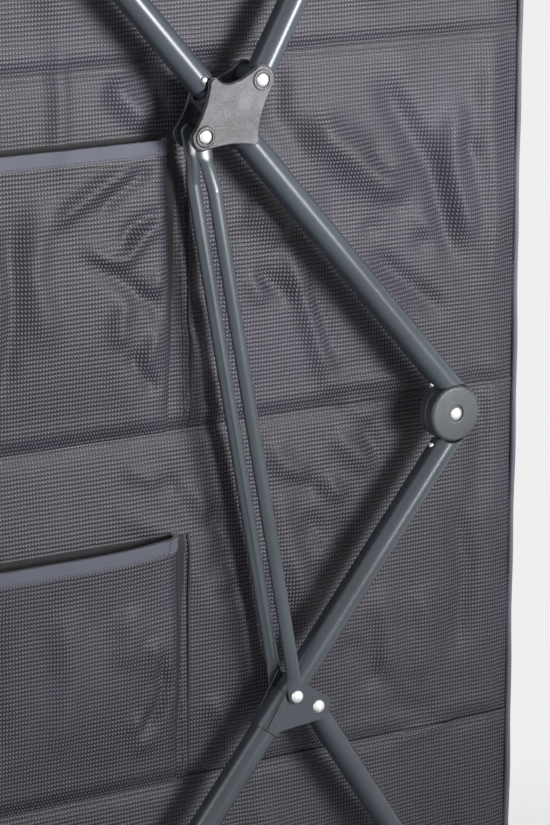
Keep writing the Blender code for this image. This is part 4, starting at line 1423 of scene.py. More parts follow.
@dataclass
class FrameEnds:
    """The base and top rings: corners with their feet, pins and lugs, rails and crossbars."""

    catches: dict[Side, Vector]
    corner_half: Lengths = mm(10, 11, 17)  # along x, y, z
    corner_reach: float = 10.3 * MM
    corner_edge: float = 2.4 * MM
    foot_radius: float = 12 * MM
    sole: float = 5 * MM
    sole_lap: float = 1 * MM
    grooves: Lengths = mm(2.0, 3.5)
    cone: Lengths = mm(1.2, 2)  # its foot's taper, how far its head lies inside the corner
    pin_radius: float = 3 * MM
    pin_head: Lengths = mm(5.5, 2)  # radius, height
    boss_start: float = 8 * MM
    boss_radius: float = 7.5 * MM
    boss_root: float = 2 * MM
    boss_gap: float = 0.3 * MM
    rail_edge: float = 1.2 * MM
    lug: Lengths = mm(275, 9, 2)  # x of its root, half width, foot over the corner's
    lug_rib: Lengths = mm(266, 7, 4)  # the same of its rib
    rib_top: float = 41 * MM

    def build(self) -> None:
        """Builds both rings."""
        for ring in Ring:
            for side in Side:
                for end in End:
                    self.corner(ring, side, end)
                node = f"{ring.value}_rail_{side.word}"
                shape = self.tube(node, 1)
                if ring is Ring.TOP:
                    self.boss(shape, self.catches[side], self.rail_x(node), self.clip_face("upper", side))
                shape.dress(node, PAINT, ring.value)
            for end in End:
                node = f"{ring.value}_crossbar_{end.word}"
                self.tube(node, 0).dress(node, PAINT, ring.value)

    def tube(self, node: str, axis: int) -> Shape:
        """A rail or crossbar along an axis, as wide as its node is high.

        Args:
            node: the bar's node.
            axis: 0 along x or 1 along y.

        Returns:
            The tube, still open to more.
        """
        low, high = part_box(node)
        radius = (high.z - low.z) / 2
        start, end = (low + high) / 2, (low + high) / 2
        if axis == 1:
            start.x = end.x = self.rail_x(node)
        start[axis], end[axis] = low[axis], high[axis]
        return Shape().bar(start, end, radius, self.rail_edge)

    def rail_x(self, node: str) -> float:
        """The x of a side rail's axis, which the catch on its outer side doesn't move.

        Args:
            node: the rail's node.

        Returns:
            The axis's x.
        """
        low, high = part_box(node)
        inner = min(low.x, high.x, key=abs)
        return inner + math.copysign((high.z - low.z) / 2, inner)

    def clip_face(self, word: str, side: Side) -> float:
        """The x of the face that meets a brace's cap."""
        return self.near_face(f"{word}_clip_{side.word}", side)

    def near_face(self, node: str, side: Side) -> float:
        """The x that stops a little short of a node's inner face."""
        low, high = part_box(node)
        return (low.x if side is Side.RIGHT else high.x) - side.value * self.boss_gap

    def boss(self, shape: Shape, place: Vector, start: float, face: float) -> None:
        """Adds a boss, flared at its root.

        Args:
            shape: takes the boss.
            place: its (y, z) place.
            start: the x of its root.
            face: the x of its face.
        """
        root, radius, length = self.boss_root, self.boss_radius, abs(face - start)
        flare = [(0.0, 0.0), (0.0, radius + root), (root, radius + root)]
        flare += [(root * 1.5, radius + root * 0.35), (root * 2.2, radius)]
        edge = root * 0.3
        flare += [(length - edge, radius), (length, radius - edge), (length, 0.0)]
        shape.turned(spot(start, place), spot(face, place), flare)

    def corner(self, ring: Ring, side: Side, end: End) -> None:
        """One moulded corner, with its foot and its pin or lug where it has them.

        Args:
            ring: the base or the top.
            side: the corner's side.
            end: the front or the rear.
        """
        node = f"{ring.value}_corner_{end.word}_{side.word}"
        low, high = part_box(node)
        rail, bar = (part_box(f"{ring.value}_{stem}") for stem in (f"rail_{side.word}", f"crossbar_{end.word}"))
        level = (rail[0].z + rail[1].z) / 2
        middle = Vector((side.value * (abs(bar[1].x) + self.corner_reach), (bar[0].y + bar[1].y) / 2, 0))
        base = ring is Ring.BASE
        bottom = level - self.corner_half[2] if base else low.z
        top = min(high.z, level + self.corner_half[2]) if base else high.z
        half = Vector((*self.corner_half[:2], 0))
        foot, head = Vector((0, 0, bottom)), Vector((0, 0, top))
        shape = Shape().block(middle - half + foot, middle + half + head, self.corner_edge, 4)
        if base:
            taper, inside = self.cone
            radius, neck = self.foot_radius, bottom - self.sole + inside
            rim, top_rim = (taper, radius * 0.93), (neck, radius * 0.8)
            cone = [(0.0, 0.0), (0.0, radius * 0.9), rim, top_rim, (neck, 0.0)]
            shape.turned(middle + Vector((0, 0, self.sole)), middle + head, cone)
            self.foot(side, end, middle)
        pin = joint_place("frame_fold" if base else "top_level")
        leg = self.near_face(f"lower_leg_{side.word}", side)
        if end is End.FRONT:
            self.boss(shape, pin, middle.x + side.value * self.boss_start, leg)
            tip = high.x if side is Side.RIGHT else low.x
            self.pin(pin, leg - side.value * self.boss_root, tip).fit(
                f"{ring.value}_pin_{side.word}", RIVET, ring.value
            )
        elif base:
            self.add_lug(shape, side, bottom, high.z)
        shape.dress(node, DARK, ring.value)

    def pin(self, place: Vector, start: float, tip: float) -> Shape:
        """The bright pin through the leg, with its domed head, between two x.

        Args:
            place: a point on the joint's axis.
            start: the x of its root.
            tip: the x of its head.

        Returns:
            The pin.
        """
        length = abs(tip - start)
        radius, height = self.pin_head
        neck = length - height
        profile = [(0.0, 0.0), (0.0, self.pin_radius), (neck, self.pin_radius)]
        profile += [(neck + height * math.sin(turn), radius * math.cos(turn)) for turn in quarter(6)[:-1]]
        return Shape().turned(spot(start, place), spot(tip, place), [*profile, (length, 0.0)], 32)

    def foot(self, side: Side, end: End, middle: Vector) -> None:
        """The rubber sole under a corner, with a grooved rim.

        Args:
            side: left or right.
            end: front or rear.
            middle: the corner's middle.
        """
        radius, sole = self.foot_radius, self.sole + self.sole_lap
        edge = radius * 0.1
        profile = [(0.0, 0.0), (0.0, radius - edge), (edge * 0.4, radius - edge * 0.25), (edge, radius)]
        # A groove's steps up the rim, and how deep it is at each, in millimetres.
        groove = ((0.0, 0.0), (0.2, 0.6), (0.7, 0.6), (0.9, 0.0))
        for first in self.grooves:
            profile += [(first + step * MM, radius - sink * MM) for step, sink in groove]
        profile += [(sole, radius - edge * 0.3), (sole, 0.0)]
        shape = Shape().turned(middle, middle + Vector((0, 0, sole)), profile)
        shape.fit(f"foot_sole_{end.word}_{side.word}", RUBBER, "base")

    def add_lug(self, shape: Shape, side: Side, bottom: float, top: float) -> None:
        """Adds the lug that the lower brace's cap rests on, with a rib down its back.

        Args:
            shape: the corner's shape.
            side: left or right.
            bottom: the corner's lowest z.
            top: its highest.
        """
        face = self.clip_face("lower", side)
        low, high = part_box(f"lower_clip_{side.word}")
        middle = (low.y + high.y) / 2
        for (x, wide, foot), head in ((self.lug, top), (self.lug_rib, self.rib_top)):
            first = (side.value * x, middle - wide, bottom + foot)
            shape.block(first, (face, middle + wide, head), self.rail_edge)


@dataclass
class Boards:
    """The base board, the shelves and the worktop."""

    shelf_edge: float = 1.4 * MM
    worktop_corner: float = 14 * MM
    band: float = 1.6 * MM
    slab_edge: float = 0.7 * MM
    slab_bed: float = 0.4 * MM
    band_drop: float = 0.3 * MM
    band_steps: int = 10

    def build(self) -> None:
        """Builds every board."""
        shelves = {f"shelf_{word}": f"shelf_{word}" for word in SHELVES}
        for node, body in {"base_board": "base", **shelves}.items():
            Shape().block(*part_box(node), self.shelf_edge, 4).dress(node, BOARD, body)
        self.worktop()

    def worktop(self) -> None:
        """The worktop's laminated slab, and the soft edging pressed on round it."""
        low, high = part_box("worktop")
        rise = Vector((0, 0, high.z - low.z - self.slab_bed))
        outline = [Vector((*point, high.z - rise.z)) for point in self.outline(low, high, self.band)]
        Shape().prism(outline, rise, self.slab_edge, 3).dress("worktop", STONE, "top")
        outer, inner = self.outline(low, high, 0.0), self.outline(low, high, self.band * 1.6)
        rings = []
        for i in range(self.band_steps + 1):
            turn = math.pi * i / self.band_steps
            share = 1 - math.sin(turn) ** 0.7
            z = low.z + (high.z - low.z - self.band_drop) * (1 - math.cos(turn)) / 2
            rings.append([Vector((*(a.lerp(b, share)), z)) for a, b in zip(outer, inner)])
        Shape().skin(rings, True).fit("worktop_edging", EDGING, "top")

    def outline(self, low: Vector, high: Vector, inset: float) -> list[Vector]:
        """The (x, y) outline of the worktop with rounded corners, drawn in by an inset.

        Args:
            low: the worktop's low corner.
            high: its high corner.
            inset: how far it is drawn in.

        Returns:
            The points, anticlockwise.
        """
        points = []
        for i, (x, y) in enumerate(((high.x, high.y), (low.x, high.y), (low.x, low.y), (high.x, low.y))):
            corner = self.worktop_corner
            middle = (x - math.copysign(corner, x), y - math.copysign(corner, y))
            points += arc(middle, corner - inset, i * math.pi / 2, (i + 1) * math.pi / 2, 8)
        return points


# The cloth body

FOLD_GAIN = 1.35
CLOTH_FOOT = 45 * MM
CLOTH_TOP = 977 * MM
FOLDED_HEAD = 175.5 * MM
FOLDED_REAR_HEAD = 160.5 * MM
REAR_CLOTH = 200 * MM
SEW_PITCH = 3.2 * MM


def narrowed(ends: Sequence[Place], widths: Place, places: Rows) -> Rows:
    """Draws a strip's rear edge in towards its foot or its head.

    Args:
        ends: the strip's low and high corner.
        widths: what share of its width is left at its foot and its head.
        places: (sideways, height) rows.

    Returns:
        The rows, drawn in.
    """
    (low, foot), (_, head) = ends
    moved = places.copy()
    share = widths[0] + (widths[1] - widths[0]) * (places[:, 1] - foot) / (head - foot)
    moved[:, 0] = low + (places[:, 0] - low) * share
    return moved


@dataclass(frozen=True)
class Fold:
    """A fold in the cloth: a soft ridge, or with a negative rise a valley, along a line.

    The line's points are (y, z) places in millimetres, and so are the width and the rise.
    """

    points: tuple[Place, ...]
    width: float
    rise: float
    tail: float = 0.5

    def height(self, places: Rows) -> Rows:
        """How far the fold stands out at (y, z) rows, all in millimetres.

        Args:
            places: (y, z) rows.

        Returns:
            A height for each row.
        """
        line = np.array(self.points, float)
        runs = np.linalg.norm(np.diff(line, axis=0), axis=1)
        starts = np.concatenate([[0.0], np.cumsum(runs)])
        nearest, along = np.full(len(places), np.inf), np.zeros(len(places))
        for start, end, run, before in zip(line, line[1:], runs, starts):
            way = (end - start) / run
            share = np.clip((places - start) @ way, 0, run)
            gap = np.linalg.norm(places - start - share[:, None] * way, axis=1)
            along = np.where(gap < nearest, before + share, along)
            nearest = np.minimum(nearest, gap)
        taper = np.clip((1 - np.abs(along / starts[-1] * 2 - 1)) / self.tail, 0, 1)
        taper = taper * taper * (3 - 2 * taper)
        return FOLD_GAIN * self.rise * taper * np.exp(-((nearest / self.width) ** 2))


def folds(*rows: tuple[float, ...]) -> list[Fold]:
    """Folds from rows of a width, a rise and the y and z of each point."""
    return [Fold(tuple(zip(row[2::2], row[3::2])), *row[:2]) for row in rows]


def relief(lines: Sequence[Fold], places: Rows) -> Rows:
    """The height of many folds together at (y, z) rows, all in millimetres."""
    return sum((fold.height(places) for fold in lines), np.zeros(len(places)))


@dataclass(frozen=True)
class Crumple:
    """Many small creases at seeded random places, for the slack in hung cloth."""

    seed: int
    count: int
    length: Lengths = (30.0, 120.0)
    width: Lengths = (4.0, 14.0)
    rise: float = 0.9

    def folds(self, low: Place, high: Place, lean: float) -> list[Fold]:
        """Draws the creases.

        Args:
            low: the lowest (y, z) corner of their field, in millimetres.
            high: the highest corner.
            lean: the heading in degrees that most of them keep near.

        Returns:
            The creases.
        """
        draw = np.random.default_rng(self.seed)
        made = []
        for _ in range(self.count):
            middle = draw.uniform(low, high)
            heading = math.radians(lean) + draw.normal(0, 0.5)
            half = draw.uniform(*self.length) / 2
            bend = draw.normal(0, 0.18)
            ends = [middle + sign * half * np.array(direction(heading + sign * bend)) for sign in (-1, 1)]
            rise = draw.normal(0, self.rise)
            line = (tuple(ends[0]), tuple(middle), tuple(ends[1]))
            made.append(Fold(line, draw.uniform(*self.width), rise, 0.8))
        return made


@dataclass
class Drape:
    """The relief of one wall, in millimetres: its belly between the boards, its folds and its slack."""

    folds: list[Fold]
    levels: tuple[float, ...]
    half_span: float
    belly: float = 3.0
    nip: float = 1.6
    base: float = 2.2
    soft_edge: float = 16.0
    zip_line: float = math.inf
    zip_flat: Lengths = (18.0, 24.0)

    def relief(self, places: Rows) -> Rows:
        """The cloth's height over the corners' outer face at (sideways, height) rows.

        Args:
            places: (sideways, height) rows.

        Returns:
            A height for each row, in metres.
        """
        sideways, height = places[:, 0], places[:, 1]
        belly = np.zeros(len(places))
        for low, high in zip(self.levels, self.levels[1:]):
            share = np.clip((height - low) / (high - low), 0, 1)
            belly = np.maximum(belly, np.sin(np.pi * share).clip(0) ** 0.7)
        across_share = np.clip(1 - (sideways / self.half_span) ** 2, 0, 1)
        lines = relief(self.folds, places)
        for level in self.levels[1:-1]:
            gap = height - level
            lines -= self.nip * np.exp(-((gap / 4.5) ** 2)) - 0.8 * np.exp(-(((gap - 9) / 6) ** 2))
        gaps = (self.half_span - np.abs(sideways), height - self.levels[0] + 30, self.levels[-1] - height)
        fade = np.prod([np.clip(gap / self.soft_edge, 0, 1) for gap in gaps], axis=0)
        flat, ramp = self.zip_flat
        stiff = np.clip((np.abs(np.abs(sideways) - self.zip_line) - flat) / ramp, 0, 1)
        return np.maximum(self.base * fade + self.belly * belly * across_share + lines * fade, 0.0) * stiff


def cloth_map(mesh: bpy.types.Mesh, places: Rows) -> None:
    """Gives a mesh its cloth UV map from each vertex's (across, up) place, in metres."""
    corners = np.array([loop.vertex_index for loop in mesh.loops])
    mesh.uv_layers.new(name="cloth").data.foreach_set("uv", places[corners].astype(np.float32).ravel())


@dataclass
class Sheet:
    """A sheet of cloth over a (sideways, height) grid, with its weave's UV map in metres."""

    low: Place
    high: Place
    step: float
    thickness: float

    def make(
        self,
        name: str,
        outer: Callable[[Rows], Rows],
        to_space: Callable[[Rows, Rows], Rows],
        finish: Finish,
    ) -> Piece:
        """Builds the sheet as a closed shell.

        Args:
            name: its name.
            outer: gives the outer face's distance out for (sideways, height) rows, in metres.
            to_space: turns those rows and distances into points in space.
            finish: its cloth.

        Returns:
            The sheet.
        """
        spans = (self.high[0] - self.low[0], self.high[1] - self.low[1])
        wide, tall = (max(2, round(size / self.step)) + 1 for size in spans)
        ticks = (np.linspace(self.low[0], self.high[0], wide), np.linspace(self.low[1], self.high[1], tall))
        places = np.stack(np.meshgrid(*ticks), axis=-1).reshape(-1, 2)
        distance = outer(places)
        firsts = [j * wide + i for j in range(tall - 1) for i in range(wide - 1)]
        mesh = bpy.data.meshes.new(name)
        points = to_space(places, distance)
        mesh.from_pydata([tuple(p) for p in points], [], [(a, a + 1, a + wide + 1, a + wide) for a in firsts])
        cloth_map(mesh, places)
        mesh.materials.append(finish.material())
        outwards = Vector(to_space(places[:1], distance[:1] + 1)[0] - points[0])
        if Vector(mesh.polygons[0].normal).dot(outwards) < 0:
            mesh.flip_normals()
        piece = link(name, mesh)
        solid = piece.modifiers.new("thickness", "SOLIDIFY")
        solid.thickness, solid.offset = self.thickness, -1
        mesh.shade_smooth()
        settled(piece).data.set_sharp_from_angle(angle=math.radians(60))
        return piece


def soft_piece(piece: Piece, finish: Finish, *nodes: str, foot: float = CLOTH_FOOT) -> Piece:
    """Hands over a piece of the cloth body, with a mesh of its own.

    Args:
        piece: the finished piece.
        finish: its finish.
        nodes: the nodes that it stands for.
        foot: a height that goes only into a share that nothing uses.

    Returns:
        The piece.
    """
    place_piece(piece, finish, "base", *nodes)
    rear = min(vert.co.y for vert in piece.data.vertices) > REAR_CLOTH
    head = FOLDED_REAR_HEAD if rear else FOLDED_HEAD
    keep = (head - foot) / (CLOTH_TOP - foot)
    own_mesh(piece)
    return piece


def sewn(
    name: str, part: Piece, points: Sequence[Place], facing: Vector, pitch: float, finish: Finish
) -> Piece:
    """Lays a part at every pitch along a line of points, standing the way that it faces."""
    base = points_mesh(points, edges=True, out=[tuple(facing)] * len(points))
    return stitch_tree().grow(name, base, finish, Part=part, Pitch=pitch)


@cache
def stitch() -> Piece:
    """The one stitch that every seam repeats, along X.

    Returns:
        The hidden part.
    """
    half, radius, tip = mm(1.15, 0.28, 0.15)
    size, neck = half * 2, radius * 0.8
    profile = [(0.0, 0.0), (tip, neck), (half, radius), (size - tip, neck), (size, 0.0)]
    return Shape().turned(Vector((-half, 0, 0)), Vector((half, 0, 0)), profile, 6).helper("stitch", THREAD)


def joined(name: str, pieces: Sequence[Piece]) -> Piece:
    """One object made of several of one finish, which all lie in place.

    Args:
        name: the piece's.
        pieces: what it is made of.

    Returns:
        The piece.
    """
    shape = bmesh.new()
    finish = pieces[0].data.materials[0]
    for piece in pieces:
        shape.from_mesh(piece.data)
        bpy.data.objects.remove(piece)
    mesh = bpy.data.meshes.new(name)
    shape.to_mesh(mesh)
    shape.free()
    mesh.materials.append(finish)
    return link(name, mesh)


def between(ends: Sequence[Place], spacing: float) -> Rows:
    """Rows of places along a line between its two ends, about a spacing apart.

    Args:
        ends: the line's.
        spacing: how far apart they may lie.

    Returns:
        The rows.
    """
    first, last = (np.array(end, float) for end in ends)
    count = max(2, int(np.linalg.norm(last - first) / spacing) + 1)
    return first + np.linspace(0, 1, count)[:, None] * (last - first)


@dataclass
class Wall:
    """One hung wall: its drape and the plane that it hangs on, which other cloth is sewn to."""

    node: str
    facing: Vector
    base: float
    half_span: float
    drape: Drape
    step: float = 4.0 * MM
    thickness: float = 1.0 * MM
    sew_step: float = 6 * MM

    def distance(self, places: Rows, lift: float | Rows = 0.0) -> Rows:
        """How far out the wall's outer face is at (sideways, height) rows, in metres, plus a lift."""
        return self.base + self.thickness + self.drape.relief(places / MM) * MM + lift

    def to_space(self, places: Rows, distance: Rows) -> Rows:
        """Points in space from (sideways, height) rows and distances out.

        Args:
            places: (sideways, height) rows.
            distance: how far out each lies.

        Returns:
            (x, y, z) rows.
        """
        along = np.array((abs(self.facing.y), abs(self.facing.x), 0.0))
        points = places[:, :1] * along + distance[:, None] * np.array(self.facing)
        points[:, 2] += places[:, 1]
        return points

    def build(self) -> Piece:
        """Builds the wall's cloth.

        Returns:
            The sheet.
        """
        sheet = Sheet((-self.half_span, CLOTH_FOOT), (self.half_span, CLOTH_TOP), self.step, self.thickness)
        made = sheet.make(f"dressed_{self.node}", self.distance, self.to_space, CLOTH)
        return soft_piece(made, CLOTH, self.node)

    def tape(
        self,
        name: str,
        ends: tuple[Place, Place],
        finish: Finish,
        lift: float = 0.8 * MM,
        step: float = 4.0 * MM,
        outline: Callable[[Rows], Rows] = np.copy,
        thickness: float = 0.7 * MM,
    ) -> Piece:
        """Lays a strip of cloth on the wall.

        Args:
            name: its name.
            ends: its lowest and highest (sideways, height) corners.
            finish: its cloth.
            lift: how far its face stands over the wall's.
            step: its grid's step.
            outline: moves its places on the wall, where its edges aren't straight.
            thickness: its thickness.

        Returns:
            The strip.
        """
        return Sheet(*ends, step, thickness).make(
            name,
            lambda places: self.distance(outline(places), lift),
            lambda places, distance: self.to_space(outline(places), distance),
            finish,
        )

    def sew(self, name: str, runs: Sequence[Sequence[Place]], lift: float, foot: float = CLOTH_FOOT) -> None:
        """Sews straight runs of stitches on the wall.

        Args:
            name: the stitching's name.
            runs: the (sideways, height) ends of each run.
            lift: how far the stitches stand over the wall's face.
            foot: the height handed on to soft_piece, which moves nothing by it.
        """
        made = []
        for i, ends in enumerate(runs):
            places = between(ends, self.sew_step)
            points = self.to_space(places, self.distance(places, lift))
            made.append(sewn(f"run_{i}", stitch(), points, self.facing, SEW_PITCH, THREAD))
        soft_piece(joined(name, made), THREAD, foot=foot)


@dataclass
class Pocket:
    """A pocket on a side wall: its bag, the binding on its mouth, the dark gusset at its rear, and dark strips
    of painted shade in its rear crease and inside its mouth.
    """

    name: str
    wall: Wall
    bottom: float
    top: float
    rear: float
    panel_rear: float
    mouth: float
    folds: list[Fold]
    rise: float = 0.0
    front: float = -222 * MM
    puff: float = 5.0 * MM
    seat: float = 0.9 * MM
    thickness: float = 0.9 * MM
    step: float = 3.0 * MM
    binding: float = 8.0 * MM
    binding_lap: float = 0.6 * MM
    binding_step: float = 2.2 * MM
    binding_fold: float = 1.6 * MM
    binding_lift: float = 0.8 * MM
    gusset_over: float = 2 * MM
    gusset_lift: float = 1.1 * MM
    # The mouth's dark sheet is painted shade, for the shadow inside the open pocket.
    lining_depth: float = 30 * MM
    lining_ends: Lengths = mm(4, 3)  # inside the bag's front edge, inside its rear edge
    lining_over: float = 3 * MM
    tack: float = 9 * MM
    foot_hem: float = 1.5 * MM
    row_inset: float = 1 * MM
    bag_sew_lift: float = 0.95 * MM
    hem_sew_lift: float = 0.15 * MM
    sew_step: float = 4 * MM
    tacked: float = 60 * MM

    def piece_name(self, word: str) -> str:
        """The name of one of the pocket's pieces, or with no word its node's name."""
        return "_".join(filter(None, ("pocket", self.name, word, self.wall.node.split("_")[-1])))

    def shares(self, places: Rows) -> tuple[Rows, Rows]:
        """How far across and up the bag (sideways, height) rows lie, from 0 to 1.

        Args:
            places: (sideways, height) rows.

        Returns:
            The shares across, and the shares up.
        """
        return (
            np.clip((places[:, 0] - self.front) / (self.panel_rear - self.front), 0, 1),
            np.clip((places[:, 1] - self.bottom) / (self.top - self.bottom), 0, 1),
        )

    def proud(self, places: Rows) -> Rows:
        """How far the bag stands over the wall's face at (sideways, height) rows, in metres.

        Args:
            places: (sideways, height) rows.

        Returns:
            A height for each row.
        """
        across_share, up_share = self.shares(places)
        edge = np.clip((1 - across_share) / 0.035, 0, 1) ** 0.5 * np.clip(across_share / 0.12, 0, 1) ** 0.6
        full = self.puff * np.sin(np.pi * np.clip(up_share, 0.0, 0.72)) ** 0.6 + self.mouth * up_share**3
        foot = np.clip(up_share / 0.06, 0, 1) ** 0.5
        lines = relief(self.folds, places / MM) * MM * np.clip(edge, 0.25, 1)
        return np.maximum((full * edge + lines) * foot, 0.0)

    def face(self, lift: float = 0.0) -> Callable[[Rows], Rows]:
        """What gives the bag's face, at a lift over it."""
        base = self.seat + self.thickness + lift
        return lambda places: self.wall.distance(places, base) + self.proud(places)

    def space(self, places: Rows, distance: Rows) -> Rows:
        """Points in space, with the mouth raised a little towards its rear end, where it is tacked.

        Args:
            places: (sideways, height) rows.
            distance: how far out each lies.

        Returns:
            (x, y, z) rows.
        """
        moved = places.copy()
        near = np.clip((places[:, 0] - self.panel_rear) / self.tacked + 1, 0, 1)
        moved[:, 1] += self.rise * near**2 * self.shares(places)[1]
        return self.wall.to_space(moved, distance)

    def build(self) -> Piece:
        """Builds the pocket.

        Returns:
            The bag.
        """
        bag = Sheet((self.front, self.bottom), (self.panel_rear, self.top), self.step, self.thickness)
        made = bag.make(f"dressed_{self.piece_name('')}", self.face(), self.space, CLOTH)
        soft_piece(made, CLOTH, self.piece_name(""))
        low, high = (self.front, self.top - self.binding), (self.panel_rear, self.top + self.binding_lap)
        band = Sheet(low, high, self.binding_step, self.thickness + self.binding_fold)
        trim = band.make(self.piece_name("binding"), self.face(self.binding_lift), self.space, BINDING)
        soft_piece(trim, BINDING)
        self.gusset()
        self.stitching()
        return made

    def gusset(self) -> None:
        """The strip between the bag's rear edge and the wall, a dark wedge of painted shade in the crease
        beside the bag's edge, and a dark sheet of painted shade inside the mouth.
        """
        foot, head = self.bottom, self.top + self.gusset_over
        rear, panel = self.rear, self.panel_rear
        # Each strip: its word, front, rear, finish and lift, and what is left of it at foot and head.
        rows = (
            ("gusset", panel - 4 * MM, rear, CLOTH, 0.7 * MM, 1.0, 0.8),
            # The crease strip is painted shade: a dark wedge, narrowing to its foot, for the shadow in the fold
            # beside the bag's edge.
            ("crease", panel - 1 * MM, panel + 6 * MM, TAPE_AND_SHADE, 1.0 * MM, 0.15, 1.0),
            ("seam", rear - 0.6 * MM, rear + 0.6 * MM, TAPE_AND_SHADE, 0.9 * MM, 1.0, 1.0),
        )
        for word, low, high, finish, lift, *widths in rows:
            ends = ((low, foot), (high, head))
            shape = partial(narrowed, ends, widths)
            soft_piece(self.wall.tape(self.piece_name(word), ends, finish, lift, self.step, shape), finish)
        # A dark sheet under the mouth: painted shade for the shadow inside the pocket.
        ahead, behind = self.lining_ends
        ends = (
            (self.front + ahead, self.top - self.lining_depth),
            (panel - behind, self.top + self.lining_over),
        )
        lining = self.wall.tape(self.piece_name("lining"), ends, TAPE_AND_SHADE, 0.5 * MM, 6 * MM, thickness=0.4 * MM)
        soft_piece(lining, TAPE_AND_SHADE)

    def stitching(self) -> None:
        """The rows of stitches on the binding, along the foot and down the rear edge."""
        front, rear, foot = self.front, self.panel_rear, self.top - self.binding
        tack, hem, inset = rear - self.tack, self.bottom + self.foot_hem, self.row_inset
        # Each row: its two ends and its lift over the bag's face, or None for one on the wall.
        lines = (
            ((front + inset * 2, foot + inset), (rear, foot + inset), self.bag_sew_lift),
            ((tack, self.top - inset), (tack, foot), self.bag_sew_lift),
            ((front, hem), (rear, hem), self.hem_sew_lift),
            ((self.rear - 3 * MM, self.bottom), (self.rear - 8 * MM, self.top), None),
        )
        made = []
        for i, (first, last, lift) in enumerate(lines):
            places = between((first, last), self.sew_step)
            if lift is None:
                points = self.wall.to_space(places, self.wall.distance(places, self.gusset_lift))
            else:
                points = self.space(places, self.face(lift)(places))
            made.append(sewn(f"run_{i}", stitch(), points, self.wall.facing, SEW_PITCH, THREAD))
        soft_piece(joined(self.piece_name("stitches"), made), THREAD)


# Folds, each a width, a rise and its line's (y, z) places in millimetres: a side wall's, then the pockets'
SIDE_FOLDS = folds(
    (11, 4.6, 74, 712, 103, 690, 133, 667, 150, 653),
    (7, -3.6, 124, 734, 143, 706, 157, 684, 166, 672, 173, 650, 180, 626, 189, 606),
    (9, 3.4, 186, 716, 180, 690, 181, 668, 190, 640, 197, 616),
    (3.5, -2.2, 118, 692, 126, 682, 139, 671),
    (3, -1.8, 128, 656, 138, 653, 148, 649),
    (3, -1.5, 117, 643, 123, 640, 130, 638),
    (3.5, -1.6, 152, 631, 159, 628, 166, 622),
    (5, 1.8, 150, 640, 160, 641, 170, 634),
    (3.5, -1.8, 186, 690, 191, 683, 197, 674),
    (5, -2.6, 120, 628, 140, 612, 160, 596, 180, 580),
    (7, 2.2, 110, 616, 128, 602, 150, 586),
    (4, 1.8, 84, 551, 110, 550, 150, 548),
    (3, 1.0, 92, 537, 120, 538, 150, 537),
    (6, 3.2, 60, 640, 67, 626, 78, 602, 93, 560, 96, 545),
    (4.5, -2.4, 76, 622, 86, 596, 99, 560),
    (4, -2.0, 42, 626, 56, 614, 72, 602),
    (4, 1.7, 38, 622, 44, 615, 50, 604),
    (9, 2.8, 36, 668, 52, 655, 66, 640),
    (5, 2.4, -4, 600, 3, 578, 2, 556, -6, 542),
    (8, -1.8, 14, 640, 20, 600, 18, 560),
    (7, 3.2, -52, 742, -40, 730, -24, 716),
    (5, -2.2, -30, 760, -22, 738, -12, 716),
    (9, 2.4, 210, 760, 206, 700, 214, 640, 206, 580),
    (8, -1.8, 196, 560, 206, 500, 202, 450),
    (6, 2.2, 52, 520, 64, 505, 80, 492),
    (4, -1.8, 60, 496, 76, 492, 92, 484),
    (6, 2.0, 96, 520, 112, 506, 128, 494),
    (4, -1.6, 118, 524, 126, 508, 132, 494),
    (4.5, 2.2, 90, 494, 97, 486, 106, 479),
    (5, -1.7, 76, 474, 86, 462, 90, 446),
    (4, 1.8, 82, 462, 88, 450, 88, 440),
    (4, -1.3, 100, 470, 104, 458, 100, 446),
    (4, 1.5, 104, 536, 116, 531, 132, 528),
    (7, 1.6, 60, 498, 62, 470, 74, 440, 72, 410),
    (6, -2.2, 10, 494, 20, 470, 17, 440),
    (5, 1.8, 16, 480, 20, 450, 24, 430),
    (5, 1.6, -14, 502, 4, 494, 14, 478),
    (4, -1.5, -24, 512, -8, 500, 2, 486),
    (4, 1.4, -46, 520, -30, 512, -14, 506),
    (9, 1.8, 26, 440, 32, 400, 30, 360),
    (5, 1.8, 12, 372, 15, 364, 24, 354),
    (10, 1.7, 122, 420, 136, 402, 140, 380, 134, 360),
    (8, -1.4, 104, 392, 118, 374, 126, 350),
    (10, 1.5, 160, 420, 166, 390, 160, 350),
    (6, -1.3, 134, 344, 150, 336, 176, 334),
    (3.5, 1.8, 142, 318, 160, 321, 190, 324),
    (8, -2.2, 184, 470, 194, 420, 188, 360),
    (6, 1.6, 70, 335, 84, 342, 104, 346),
    (12, 2.2, 40, 310, 56, 270, 64, 220, 52, 160),
    (12, 2.4, 120, 306, 140, 250, 132, 190),
    (8, -1.8, 96, 290, 110, 230, 104, 180),
    (12, 2.0, -40, 300, -66, 240, -60, 170),
    (12, 2.2, -140, 300, -120, 220, -136, 140),
    (9, -1.8, 176, 290, 190, 210, 180, 120),
    (12, 3.0, 60, 930, 80, 880, 118, 810, 130, 760),
    (10, -2.2, 20, 940, 26, 880, 50, 820, 66, 770),
    (12, 2.6, 150, 950, 160, 890, 182, 830, 186, 770),
    (12, 2.4, -70, 950, -64, 880, -84, 810, -78, 760),
    (12, 2.2, -150, 950, -160, 880, -142, 810, -150, 760),
    (8, -1.8, -110, 940, -114, 860, -104, 780),
)
